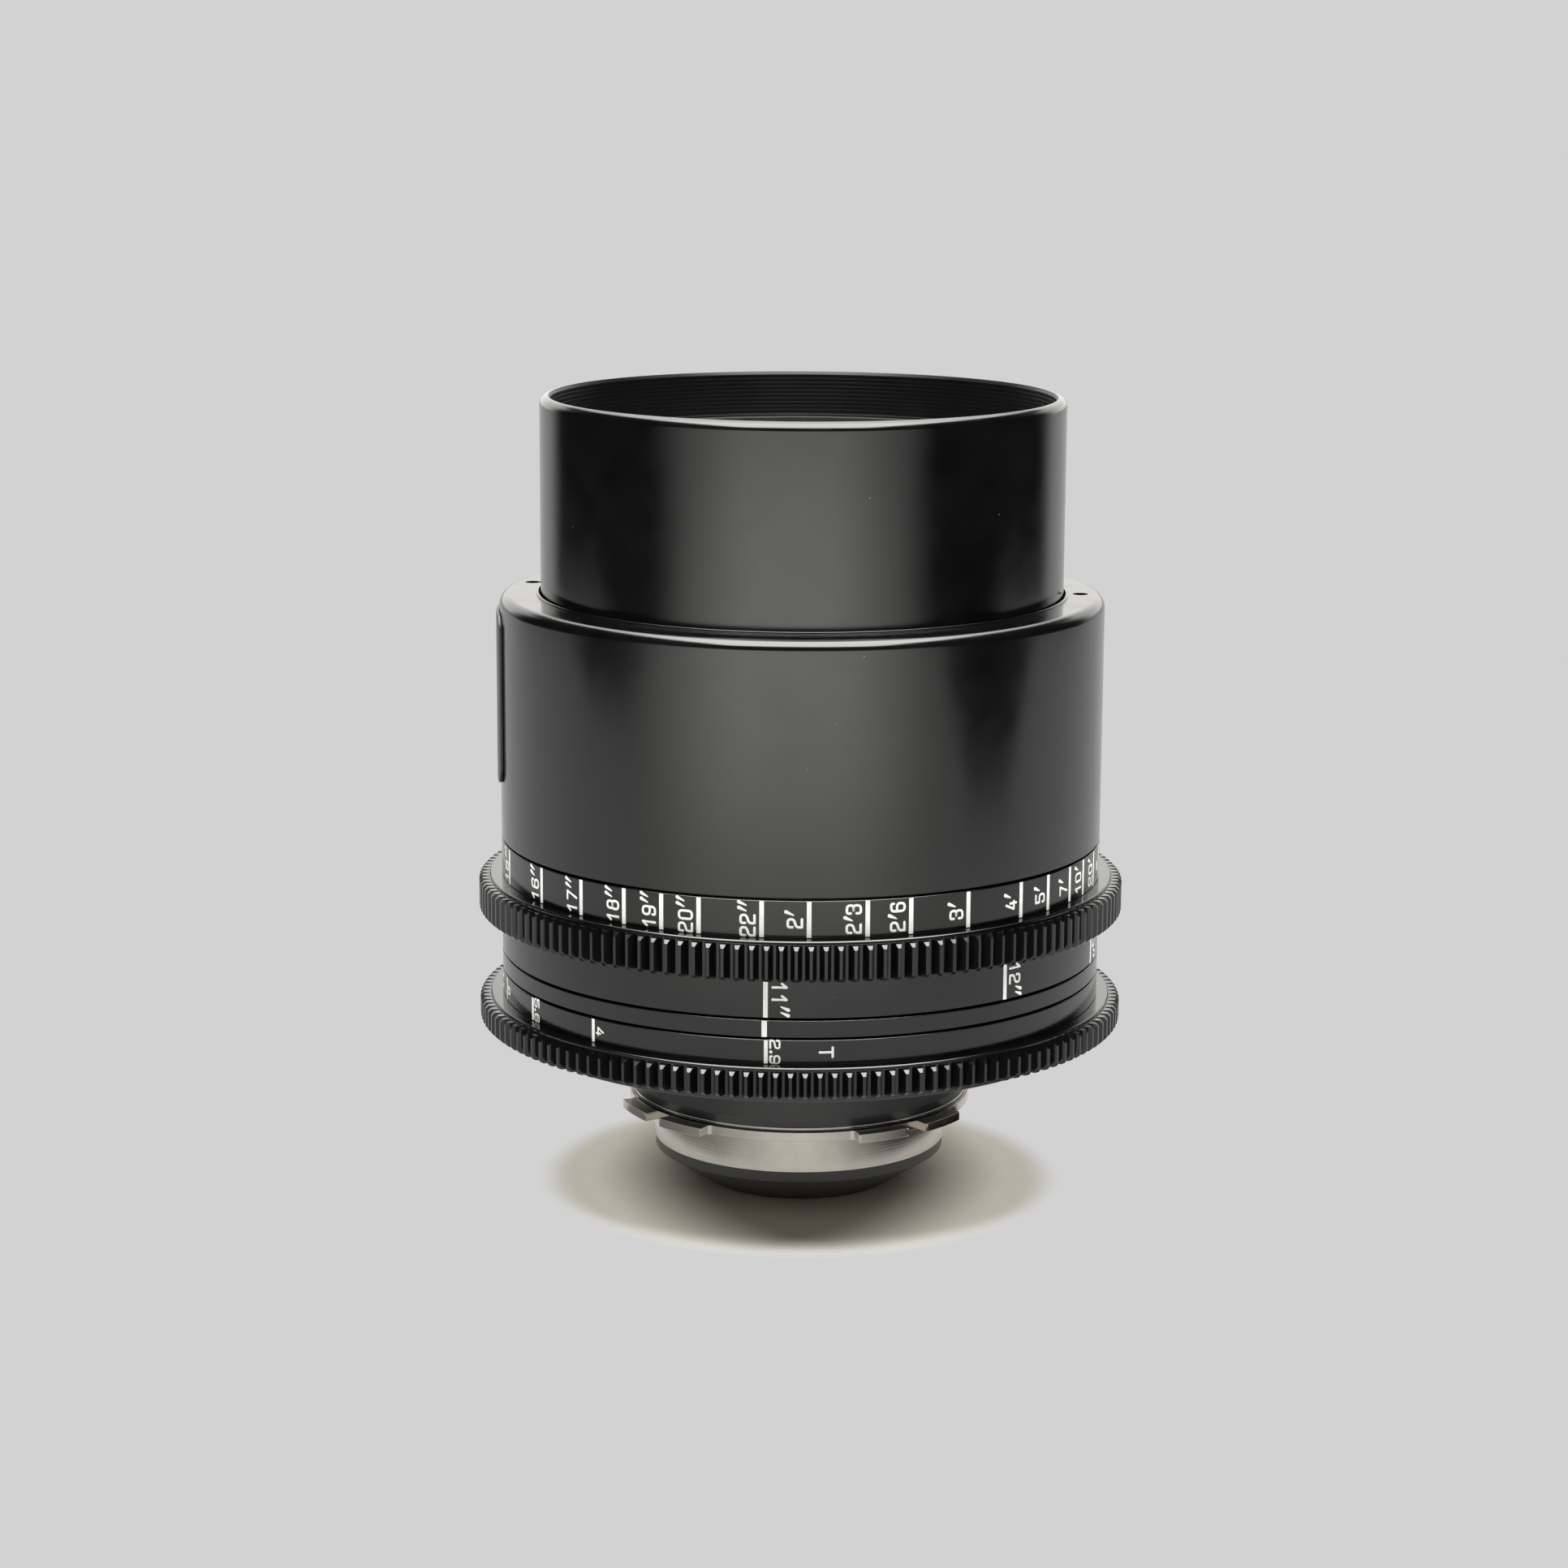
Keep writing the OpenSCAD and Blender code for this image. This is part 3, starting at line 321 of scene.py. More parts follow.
def cut(obj: Obj, tool: Obj) -> None:
    """Cuts a tool's shape out of a piece and removes the tool."""
    finish_modifier(obj, "BOOLEAN", operation="DIFFERENCE", object=tool, solver="EXACT")
    bpy.data.objects.remove(tool)


def copies_around(obj: Obj, count: int) -> Obj:
    """Repeats a piece evenly around the lens axis and joins the copies to it.

    Args:
        obj: Piece that stands at its first place.
        count: Number of pieces in the end.

    Returns:
        One object that holds all of them.
    """
    deselect()
    bpy.ops.object.empty_add(location=(0, 0, 0))
    pivot = bpy.context.object
    pivot.rotation_euler.z = 2 * math.pi / count
    bpy.context.view_layer.update()
    finish_modifier(obj, "ARRAY", count=count, use_relative_offset=False, use_object_offset=True,
                    offset_object=pivot)
    bpy.data.objects.remove(pivot)
    return obj


def joined(main: Obj, *others: Obj) -> Obj:
    """Joins other pieces into one.

    Args:
        main: Piece that takes the others in.
        others: Pieces that end in it.

    Returns:
        The main piece.
    """
    pick(main)
    for other in others:
        other.select_set(True)
    bpy.ops.object.join()
    return main


def select_by(obj: Obj, mode: str, test: Callable) -> None:
    """Selects the parts of a mesh in edit mode that pass a test.

    Args:
        obj: Object whose mesh is in edit mode.
        mode: "VERT", "EDGE" or "FACE".
        test: Says of a vertex's place, an edge's two places or a face's middle whether it is selected.
    """
    bpy.ops.mesh.select_mode(type=mode)
    bpy.ops.mesh.select_all(action="DESELECT")
    bpy.ops.object.mode_set(mode="OBJECT")
    mesh = obj.data
    if mode == "VERT":
        parts = [(vertex, vertex.co) for vertex in mesh.vertices]
    elif mode == "EDGE":
        parts = [(edge, [mesh.vertices[i].co for i in edge.vertices]) for edge in mesh.edges]
    else:
        parts = [(face, face.center) for face in mesh.polygons]
    for part, place in parts:
        part.select = bool(test(place))
    bpy.ops.object.mode_set(mode="EDIT")


# Finishes


def mix_colours(tree: bpy.types.NodeTree, amount: Socket, first: tuple | Socket, second: tuple | Socket) -> Socket:
    """Adds a node that mixes two colours.

    Args:
        tree: Node tree of a material or of the world.
        amount: Share of the second colour.
        first: Colour at 0.
        second: Colour at 1.

    Returns:
        The mixed colour.
    """
    made = tree.nodes.new("ShaderNodeMix")
    made.data_type = "RGBA"
    sockets = {s.identifier: s for s in made.inputs}
    tree.links.new(amount, sockets["Factor_Float"])
    for key, value in (("A_Color", first), ("B_Color", second)):
        if isinstance(value, Socket):
            tree.links.new(value, sockets[key])
        else:
            sockets[key].default_value = (*value, 1)
    return next(s for s in made.outputs if s.identifier == "Result_Color")


class Shader:
    """Node tree of one material, with helpers for its textures."""

    def __init__(self, name: str) -> None:
        """Starts a material with a Principled shader and Object coordinates.

        Args:
            name: Name of the material.
        """
        self.material = bpy.data.materials.new(name)
        self.material.use_nodes = True
        self.nodes = self.material.node_tree.nodes
        self.links = self.material.node_tree.links
        self.surface = self.nodes["Principled BSDF"]
        self.place: Socket = self.nodes.new("ShaderNodeTexCoord").outputs["Object"]

    def node(self, kind: str, **values: object) -> bpy.types.Node:
        """Adds a node.

        Args:
            kind: Blender's name of the node.
            values: Its inputs by name, with _ for a space.

        Returns:
            The node.
        """
        made = self.nodes.new(kind)
        for key, value in values.items():
            made.inputs[key.replace("_", " ")].default_value = value
        return made

    def maths(self, kind: str, operation: str, *values: object) -> bpy.types.Node:
        """Adds a Math or Vector Math node.

        Args:
            kind: "Math" or "VectorMath".
            operation: What it does.
            values: Its inputs in order, constants or sockets of other nodes.

        Returns:
            The node.
        """
        made = self.nodes.new("ShaderNode" + kind)
        made.operation = operation
        for socket, value in zip(made.inputs, values):
            if isinstance(value, Socket):
                self.links.new(value, socket)
            else:
                socket.default_value = value
        return made

    def noise(self, scale: float, detail: float = 2.0, place: Socket | None = None) -> Socket:
        """Gives a noise.

        Args:
            scale: How fine it is, to a metre.
            detail: How many finer layers it has.
            place: Coordinates to read, the piece's own by default.

        Returns:
            The noise, about 0 to 1.
        """
        made = self.node("ShaderNodeTexNoise", Scale=scale, Detail=detail)
        self.links.new(place or self.place, made.inputs["Vector"])
        return made.outputs[0]

    def turned_place(self) -> Socket:
        """Gives coordinates that are the same all around the lens axis, for turning marks.

        Returns:
            Distance, 0 and height.
        """
        flat = self.maths("VectorMath", "MULTIPLY", self.place, (1, 1, 0))
        length = self.maths("VectorMath", "LENGTH", flat.outputs[0])
        apart = self.nodes.new("ShaderNodeSeparateXYZ")
        self.links.new(self.place, apart.inputs[0])
        together = self.nodes.new("ShaderNodeCombineXYZ")
        self.links.new(length.outputs["Value"], together.inputs[0])
        self.links.new(apart.outputs[2], together.inputs[2])
        return together.outputs[0]

    def spread(self, source: Socket, low: float, high: float, start: float = 0.3, end: float = 0.7) -> Socket:
        """Maps a value to another range.

        Args:
            source: Value to map.
            low: Result at the start.
            high: Result at the end.
            start: Value where the range starts.
            end: Value where it ends.

        Returns:
            The result.
        """
        made = self.node("ShaderNodeMapRange", From_Min=start, From_Max=end, To_Min=low, To_Max=high)
        self.links.new(source, made.inputs["Value"])
        return made.outputs[0]

    def blend(self, amount: Socket, first: tuple, second: tuple | Socket) -> Socket:
        """Mixes two colours.

        Args:
            amount: Share of the second colour.
            first: Colour at 0.
            second: Colour at 1, which may come from another node.

        Returns:
            The mixed colour.
        """
        return mix_colours(self.material.node_tree, amount, first, second)

    def specks(self, scale: float, size: float, share: float) -> Socket:
        """Gives sparse round specks: 1 on a speck and 0 elsewhere.

        Args:
            scale: How many cells to a metre.
            size: Radius of a speck as a share of its cell.
            share: Share of the cells that hold one.

        Returns:
            The amount of speck.
        """
        cells = self.node("ShaderNodeTexVoronoi", Scale=scale)
        self.links.new(self.place, cells.inputs["Vector"])
        apart = self.nodes.new("ShaderNodeSeparateColor")
        self.links.new(cells.outputs["Color"], apart.inputs[0])
        near = self.maths("Math", "LESS_THAN", cells.outputs["Distance"], size)
        few = self.maths("Math", "LESS_THAN", apart.outputs[0], share)
        return self.maths("Math", "MULTIPLY", near.outputs[0], few.outputs[0]).outputs[0]

    def to(self, source: Socket, socket: str) -> None:
        """Links a value to a socket of the surface."""
        self.links.new(source, self.surface.inputs[socket])

    def bump(self, height: Socket, strength: float, depth: float) -> None:
        """Gives the surface a relief.

        Args:
            height: Height of the relief, 0 to 1.
            strength: How strongly it shows.
            depth: Its depth in millimetres.
        """
        made = self.node("ShaderNodeBump", Strength=strength, Distance=depth * MM)
        self.links.new(height, made.inputs["Height"])
        self.links.new(made.outputs["Normal"], self.surface.inputs["Normal"])

    def set(self, **values: object) -> None:
        """Sets constant inputs of the surface by name, with _ for a space."""
        for key, value in values.items():
            self.surface.inputs[key.replace("_", " ")].default_value = value


DUST_CELLS = 430.0
DUST_SIZE = 0.055
DUST_TONE = (0.16, 0.155, 0.145)


@dataclass(frozen=True)
class Anodised:
    """Black anodised metal with fine grain, uneven sheen and a little dust."""

    name: str
    tone: tuple = (0.0021, 0.0022, 0.0022)
    pale: tuple = (0.0036, 0.0037, 0.0036)
    roughness: float = 0.16
    grain: float = 0.1
    dust: float = 0.05
    gloss: float = 0.5

    def material(self) -> Material:
        """Builds the material.

        Returns:
            The material.
        """
        shader = Shader(self.name)
        shader.set(IOR=1.68, Specular_IOR_Level=self.gloss)
        cloud = shader.noise(140, 3)
        colour = shader.blend(shader.spread(cloud, 0, 1), self.tone, self.pale)
        clean = shader.maths("Math", "SUBTRACT", 1.0, shader.specks(DUST_CELLS, DUST_SIZE, self.dust))
        shader.to(shader.blend(clean.outputs[0], DUST_TONE, colour), "Base Color")
        shader.to(shader.spread(cloud, self.roughness - 0.025, self.roughness + 0.025), "Roughness")
        shader.bump(shader.noise(2600, 3), self.grain, 0.02)
        return shader.material


@dataclass(frozen=True)
class TurnedMetal:
    """Bare metal with fine turning marks around the axis and faint stains."""

    name: str
    tone: tuple
    pale: tuple
    roughness: float = 0.26
    marks: float = 0.3

    def material(self) -> Material:
        """Builds the material.

        Returns:
            The material.
        """
        shader = Shader(self.name)
        shader.set(Metallic=1.0)
        lines = shader.noise(5200, 3, shader.turned_place())
        cloud = shader.noise(220, 4)
        shader.to(shader.blend(shader.spread(cloud, 0, 1), self.tone, self.pale), "Base Color")
        shader.to(shader.spread(lines, self.roughness - 0.05, self.roughness + 0.06), "Roughness")
        shader.bump(lines, self.marks, 0.006)
        return shader.material


@dataclass(frozen=True)
class CoatedGlass:
    """Polished glass with an anti-reflection coat."""

    name: str
    tint: tuple = (0.93, 0.97, 0.95)

    def material(self) -> Material:
        """Builds the material.

        Returns:
            The material.
        """
        shader = Shader(self.name)
        shader.set(IOR=1.6, Coat_Weight=0.6, Coat_Roughness=0.02, Coat_Tint=(0.55, 0.4, 0.85, 1.0))
        shader.set(Transmission_Weight=1.0)
        cloud = shader.noise(60, 2)
        shader.to(shader.blend(shader.spread(cloud, 0, 1), self.tint, (0.97, 0.98, 1.0)), "Base Color")
        shader.to(shader.spread(shader.noise(900, 3), 0.004, 0.02), "Roughness")
        return shader.material


@dataclass(frozen=True)
class WhiteFill:
    """White paint in the engraved marks, slightly uneven."""

    name: str

    def material(self) -> Material:
        """Builds the material.

        Returns:
            The material.
        """
        shader = Shader(self.name)
        cloud = shader.noise(900, 4)
        shader.to(shader.blend(shader.spread(cloud, 0, 1), (0.76, 0.75, 0.72), (0.88, 0.87, 0.84)), "Base Color")
        shader.to(shader.spread(cloud, 0.5, 0.68), "Roughness")
        shader.bump(shader.noise(5000, 2), 0.15, 0.01)
        return shader.material


def made_once(finish: Anodised | TurnedMetal | CoatedGlass | WhiteFill) -> Material:
    """Gives a field of the finish set, whose material is made with the set."""
    return field(default_factory=finish.material)


@dataclass(frozen=True)
class FinishSet:
    """All finishes of the lens, each made once."""

    anodised: Material = made_once(Anodised("satin_black_anodised"))
    gear: Material = made_once(Anodised("gear_black_anodised", roughness=0.13, grain=0.04, dust=0.03))
    mouth: Material = made_once(Anodised(
        "mouth_dull_black", (0.0024, 0.0024, 0.0024), (0.0038, 0.0038, 0.0038), 0.4, 0.3, 0.02, 0.26))
    matt: Material = made_once(Anodised(
        "matt_black_baffle", (0.012, 0.012, 0.012), (0.019, 0.019, 0.018), 0.55, 0.35, 0.02))
    cone: Material = made_once(Anodised(
        "cone_semi_matt", (0.048, 0.048, 0.046), (0.061, 0.061, 0.058), 0.4, 0.25, 0.02, 0.3))
    plate: Material = made_once(Anodised("plate_black", (0.014, 0.014, 0.014), (0.02, 0.02, 0.019), 0.42, 0.3, 0.04))
    nickel: Material = made_once(TurnedMetal("nickel_plate", (0.62, 0.585, 0.53), (0.69, 0.65, 0.585), 0.18, 0.06))
    steel: Material = made_once(TurnedMetal("bright_steel", (0.5, 0.5, 0.5), (0.6, 0.6, 0.59), 0.24, 0.25))
    brass: Material = made_once(TurnedMetal("turned_brass", (0.62, 0.43, 0.17), (0.72, 0.52, 0.22), 0.28, 0.3))
    glass: Material = made_once(CoatedGlass("coated_glass"))
    blade: Material = made_once(TurnedMetal("blued_blade", (0.1, 0.1, 0.105), (0.14, 0.14, 0.145), 0.42, 0.15))
    white: Material = made_once(WhiteFill("white_fill"))


def fit(obj: Obj, material: Material, body: Body, slot: Slot | None, *nodes: str) -> None:
    """Dresses a piece, lets it ride on its body and reports it.

    Args:
        obj: Finished piece.
        material: Its finish.
        body: Body that it moves with.
        slot: The record's material slot, or None for paint; not used.
        nodes: CAD nodes that it stands for.
    """
    obj.data.materials.clear()
    obj.data.materials.append(material)
    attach(obj, body.value)
    if nodes:
        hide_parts(*nodes)
    log.info("%s: %d faces on %s", obj.name, len(obj.data.polygons), body.value)


# Sub-assemblies


@dataclass
class FrontBarrel:
    """Barrel that slides out of the body, with the filter thread and the stepped baffle in its mouth."""

    radius: float = 47.5
    rim: float = 1.58
    lift: float = 0.6
    lead: float = 0.62
    thread: float = 45.59
    thread_depth: float = 0.06
    groove: float = 0.26
    pitch: float = 0.75
    thread_length: float = 8.2
    seat: float = 44.59
    ledge: float = 43.19
    seat_height: float = 1.6
    ledge_height: float = 3.0
    skirt: float = 45.0
    foot: float = 41.0
    foot_height: float = 2.0
    flange: float = 44.54
    funnel_top: float = 41.74
    funnel_low: float = 18.0
    funnel_wall: float = 1.5
    steps: int = 24

    def build(self, finishes: FinishSet) -> None:
        """Builds the barrel and its baffle.

        Args:
            finishes: Finishes of the lens.
        """
        barrel = soften(turned("front_barrel_shell", self.outline()), 0.07)
        fit(barrel, finishes.anodised, Body.FRONT, Slot.ANODISED, "front_barrel")
        self.dull_mouth(barrel, finishes)
        baffle = even_shading(turned("front_light_baffle", self.stairs()))
        fit(baffle, finishes.matt, Body.FRONT, Slot.MATT, "front_baffle")

    def outline(self) -> list[Point]:
        """Gives the barrel's outline with the grooves of the filter thread.

        Returns:
            Radius and height of each point.
        """
        low, high = span("front_barrel")
        high += self.lift
        end = high - self.thread_length
        seat = end - self.seat_height
        points = [(self.foot, low), (self.radius, low)]
        points += arc((self.radius - self.rim, high - self.rim), self.rim, 0, 90, 6)
        points.append((self.thread, high - self.lead))
        for i in range(int((self.thread_length - self.lead) / self.pitch)):
            top = high - self.lead - (i + 1) * self.pitch + self.groove
            points += [(self.thread, top), (self.thread + self.thread_depth, top - self.groove / 2),
                       (self.thread, top - self.groove)]
        return points + [(self.thread, end), (self.seat, end), (self.seat, seat), (self.ledge, seat),
                         (self.ledge, seat - self.ledge_height), (self.skirt, seat - self.ledge_height),
                         (self.skirt, low + self.foot_height), (self.foot, low + self.foot_height)]

    def dull_mouth(self, barrel: Obj, finishes: FinishSet) -> None:
        """Gives the faces inside the mouth a dull finish.

        Args:
            barrel: Barrel in its main finish.
            finishes: Finishes of the lens.
        """
        barrel.data.materials.append(finishes.mouth)
        top = span("front_barrel")[1] + self.lift - 0.1
        inside = (self.radius - self.rim - 0.05) * MM
        for face in barrel.data.polygons:
            centre = face.center
            if math.hypot(centre.x, centre.y) < inside and centre.z < top * MM:
                face.material_index = 1

    def stairs(self) -> list[Point]:
        """Gives the baffle's outline, a funnel of small steps under a flat rim.

        Returns:
            Radius and height of each point.
        """
        low, high = span("front_baffle")
        high += self.lift
        seat = span("front_barrel")[1] + self.lift - self.thread_length - self.seat_height
        points = []
        for i in range(self.steps):
            radius = self.funnel_low + (self.funnel_top - self.funnel_low) * i / (self.steps - 1)
            points += [(radius, low + (high - low) * (i + k) / self.steps) for k in (0, 1)]
        return points + [(self.flange, high), (self.flange, seat), (self.ledge - 0.1, seat),
                         (self.funnel_low + self.funnel_wall, low)]


@dataclass
class OuterBody:
    """Large plain barrel with a rounded shoulder, two pin wrench holes and a plate on its left side."""

    radius: float = 55.0
    bore: float = 51.87
    edge: float = 0.15
    shoulder: float = 1.92
    shoulder_height: float = 3.0
    mouth: float = 47.9
    lip: float = 0.36
    lip_radius: float = 48.32
    lip_edge: float = 0.14
    hole: float = 1.4
    hole_depth: float = 1.8
    hole_circle: float = 50.6
    hole_angle: float = 94.6
    plate_width: float = 35.0
    plate_corner: float = 3.0
    plate_facets: int = 24
    plate_gap: float = 0.05
    plate_thickness: float = 0.55

    def build(self, finishes: FinishSet) -> None:
        """Builds the body and its side plate.

        Args:
            finishes: Finishes of the lens.
        """
        body = turned("outer_body_shell", self.outline())
        top = span("outer_body")[1]
        bevel(body, 0.07)
        for side in (-1, 1):
            place = on_ring(self.hole_circle, side * self.hole_angle)
            cut(body, post(self.hole, place, top - self.hole_depth, top + 1))
        fit(even_shading(body), finishes.anodised, Body.HOUSING, Slot.ANODISED, "outer_body")
        fit(self.plate(), finishes.plate, Body.HOUSING, Slot.PLATE, "side_plate")

    def outline(self) -> list[Point]:
        """Gives the body's outline.

        Returns:
            Radius and height of each point.
        """
        low, high = span("outer_body")
        under = high - self.shoulder_height
        points = [(self.bore, low), (self.radius - self.edge, low), (self.radius, low + self.edge)]
        points += arc((self.radius - self.shoulder, high - self.shoulder), self.shoulder, 0, 90, 8)
        centre = (self.lip_radius - self.lip_edge, high + self.lip - self.lip_edge)
        points += [(self.lip_radius, high)] + arc(centre, self.lip_edge, 0, 90, 4)
        return points + [(self.mouth, high + self.lip), (self.mouth, under), (self.bore, under)]

    def plate(self) -> Obj:
        """Builds the rounded plate that lies along the body on its left.

        Returns:
            The plate.
        """
        low, high = span("side_plate")
        deselect()
        bpy.ops.mesh.primitive_plane_add(size=1, location=(0, 0, 0))
        plate = bpy.context.object
        plate.name = "side_nameplate_blank"
        plate.scale = (self.plate_width * MM, (high - low) * MM, 1)
        apply_place(plate)
        edit(plate)
        bpy.ops.mesh.bevel(offset=self.plate_corner * MM, segments=8, affect="VERTICES")
        for i in range(1, self.plate_facets):
            slice_mesh(((i / self.plate_facets - 0.5) * self.plate_width, 0, 0), (1, 0, 0))
        bpy.ops.object.mode_set(mode="OBJECT")
        inner = (self.radius + self.plate_gap) * MM
        for vertex in plate.data.vertices:
            x, y, _ = vertex.co
            vertex.co = (-math.sqrt(inner * inner - x * x), -x, y + (low + high) / 2 * MM)
        edit(plate)
        close_shell()
        outwards = sum(p.normal.x * p.area for p in plate.data.polygons) < 0
        finish_modifier(plate, "SOLIDIFY", thickness=self.plate_thickness * MM, offset=1.0 if outwards else -1.0)
        edit(plate)
        close_shell()
        return soften(plate, 0.12, 40)


@dataclass
class GearRing:
    """Toothed drive ring: a root ring with a plain collar on top and chamfered teeth around it."""

    name: str
    node: str
    bore: float = 53.65
    root: float = 57.4
    tip: float = 59.2
    collar: float = 57.25
    collar_height: float = 0.6
    edge: float = 0.22
    teeth: int = 146
    phase: float = -0.55
    tip_width: float = 0.52
    gap_width: float = 0.46
    sunk: float = 0.2
    chamfer: float = 0.58

    def build(self, finishes: FinishSet, body: Body) -> None:
        """Builds the ring and its teeth as one piece.

        Args:
            finishes: Finishes of the lens.
            body: Body that the gear turns with.
        """
        low, high = span(self.node)
        top = high - self.collar_height
        ring = turned(self.name, [
            (self.bore, low), (self.root, low), (self.root, top), (self.collar, top), (self.collar, high - self.edge),
            (self.collar - self.edge, high), (self.bore, high)])
        ring = soften(ring, 0.06)
        gear = joined(ring, copies_around(self.tooth(low, top), self.teeth))
        fit(gear, finishes.gear, body, Slot.ANODISED, self.node)

    def tooth(self, low: float, high: float) -> Obj:
        """Models one tooth near +X: a block that narrows to its tip, with chamfered ends.

        Args:
            low: Lower height of the tooth.
            high: Upper height of the tooth.

        Returns:
            The tooth at its first place.
        """
        inner = self.root - self.sunk
        base = 2 * math.pi * self.root / self.teeth - self.gap_width
        base += (base - self.tip_width) / (self.tip - self.root) * self.sunk
        tooth = block(self.name + "_tooth", (self.tip - inner, base, high - low),
                      ((inner + self.tip) / 2, 0, (low + high) / 2))
        edit(tooth)
        crest = (self.root + self.tip) / 2 * MM
        select_by(tooth, "VERT", lambda p: p.x > crest)
        bpy.ops.transform.resize(value=(1, self.tip_width / base, 1), center_override=(0, 0, 0))
        select_by(tooth, "EDGE", lambda ends: min(p.x for p in ends) > crest and abs(ends[0].z - ends[1].z) < MERGE)
        bpy.ops.mesh.bevel(offset=self.chamfer * MM, segments=1, affect="EDGES")
        close_shell()
        turn_to(tooth, self.phase)
        return tooth


@dataclass
class FocusRing:
    """Focus ring: lower scale band with its hub, the gear and the upper scale ring."""

    radius: float = 55.0
    hub: float = 53.6
    bore: float = 51.87
    rib: float = 51.42
    rib_height: float = 3.6
    edge: float = 0.12
    clearance: float = 0.05

    def build(self, finishes: FinishSet) -> None:
        """Builds the ring, its gear and its upper scale ring.

        Args:
            finishes: Finishes of the lens.
        """
        low, high = span("focus_ring")
        top = span("focus_gear")[0]
        ring = turned("focus_lower_band", [
            (self.rib, low), *chamfered(self.radius, low, top, self.edge), (self.hub, top), (self.hub, high),
            (self.bore, high), (self.bore, low + self.rib_height), (self.rib, low + self.rib_height)])
        fit(soften(ring, 0.05), finishes.anodised, Body.FOCUS, Slot.ANODISED, "focus_ring")
        GearRing("focus_drive_gear", "focus_gear").build(finishes, Body.FOCUS)
        low, high = span("focus_scale_ring")
        inside = self.hub + self.clearance
        scale = turned("focus_upper_band", [
            (inside, low), *chamfered(self.radius, low, high, self.edge), (inside, high)])
        fit(soften(scale, 0.05), finishes.anodised, Body.FOCUS, Slot.ANODISED, "focus_scale_ring")


@dataclass
class IrisRing:
    """Iris ring: scale band with its hub, and the gear under it."""

    radius: float = 55.0
    hub: float = 53.6
    bore: float = 51.1
    edge: float = 0.12

    def build(self, finishes: FinishSet) -> None:
        """Builds the ring and its gear.

        Args:
            finishes: Finishes of the lens.
        """
        low, high = span("iris_ring")
        band = span("iris_gear")[1]
        ring = turned("iris_scale_band", [
            (self.bore, low), (self.hub, low), (self.hub, band), *chamfered(self.radius, band, high, self.edge),
            (self.bore, high)])
        fit(soften(ring, 0.05), finishes.anodised, Body.IRIS, Slot.ANODISED, "iris_ring")
        GearRing("iris_drive_gear", "iris_gear", phase=1.05).build(finishes, Body.IRIS)


@dataclass
class CoreBarrel:
    """Fixed core with the index ring between the two control rings."""

    radius: float = 55.0
    journal: float = 51.0
    inside: float = 46.5
    seat: float = 49.37
    seat_depth: float = 3.8
    bore: float = 30.5
    floor: float = 2.0
    index_height: float = 3.1
    edge: float = 0.12
    window_start: float = 146.0
    window_end: float = 242.0
    window_low: float = 19.15
    window_high: float = 22.85

    def build(self, finishes: FinishSet) -> None:
        """Builds the core with the window that the iris drive bar passes through.

        Args:
            finishes: Finishes of the lens.
        """
        low, high = span("core_barrel")
        index = high - self.index_height
        core = turned("core_index_ring", [
            (self.bore, low), (self.journal, low), (self.journal, index),
            *chamfered(self.radius, index, high, self.edge), (self.seat, high), (self.seat, high - self.seat_depth),
            (self.inside, high - self.seat_depth), (self.inside, low + self.floor), (self.bore, low + self.floor)])
        bevel(core, 0.05)
        cut(core, self.window())
        fit(even_shading(core), finishes.anodised, Body.HOUSING, Slot.ANODISED, "core_barrel")

    def window(self) -> Obj:
        """Makes the curved block that cuts the window, a plate spun around the axis.

        Returns:
            The block.
        """
        depth = self.journal - self.inside + 2
        middle = ((self.inside + self.journal) / 2 * MM, 0, (self.window_low + self.window_high) / 2 * MM)
        deselect()
        bpy.ops.mesh.primitive_plane_add(size=1, rotation=(math.pi / 2, 0, 0), location=middle)
        window = bpy.context.object
        window.scale = (depth * MM, (self.window_high - self.window_low) * MM, 1)
        apply_place(window)
        turn_to(window, self.window_start - 90)
        edit(window)
        bpy.ops.mesh.spin(steps=48, angle=math.radians(self.window_end - self.window_start), center=(0, 0, 0),
                          axis=(0, 0, 1))
        close_shell()
        return window


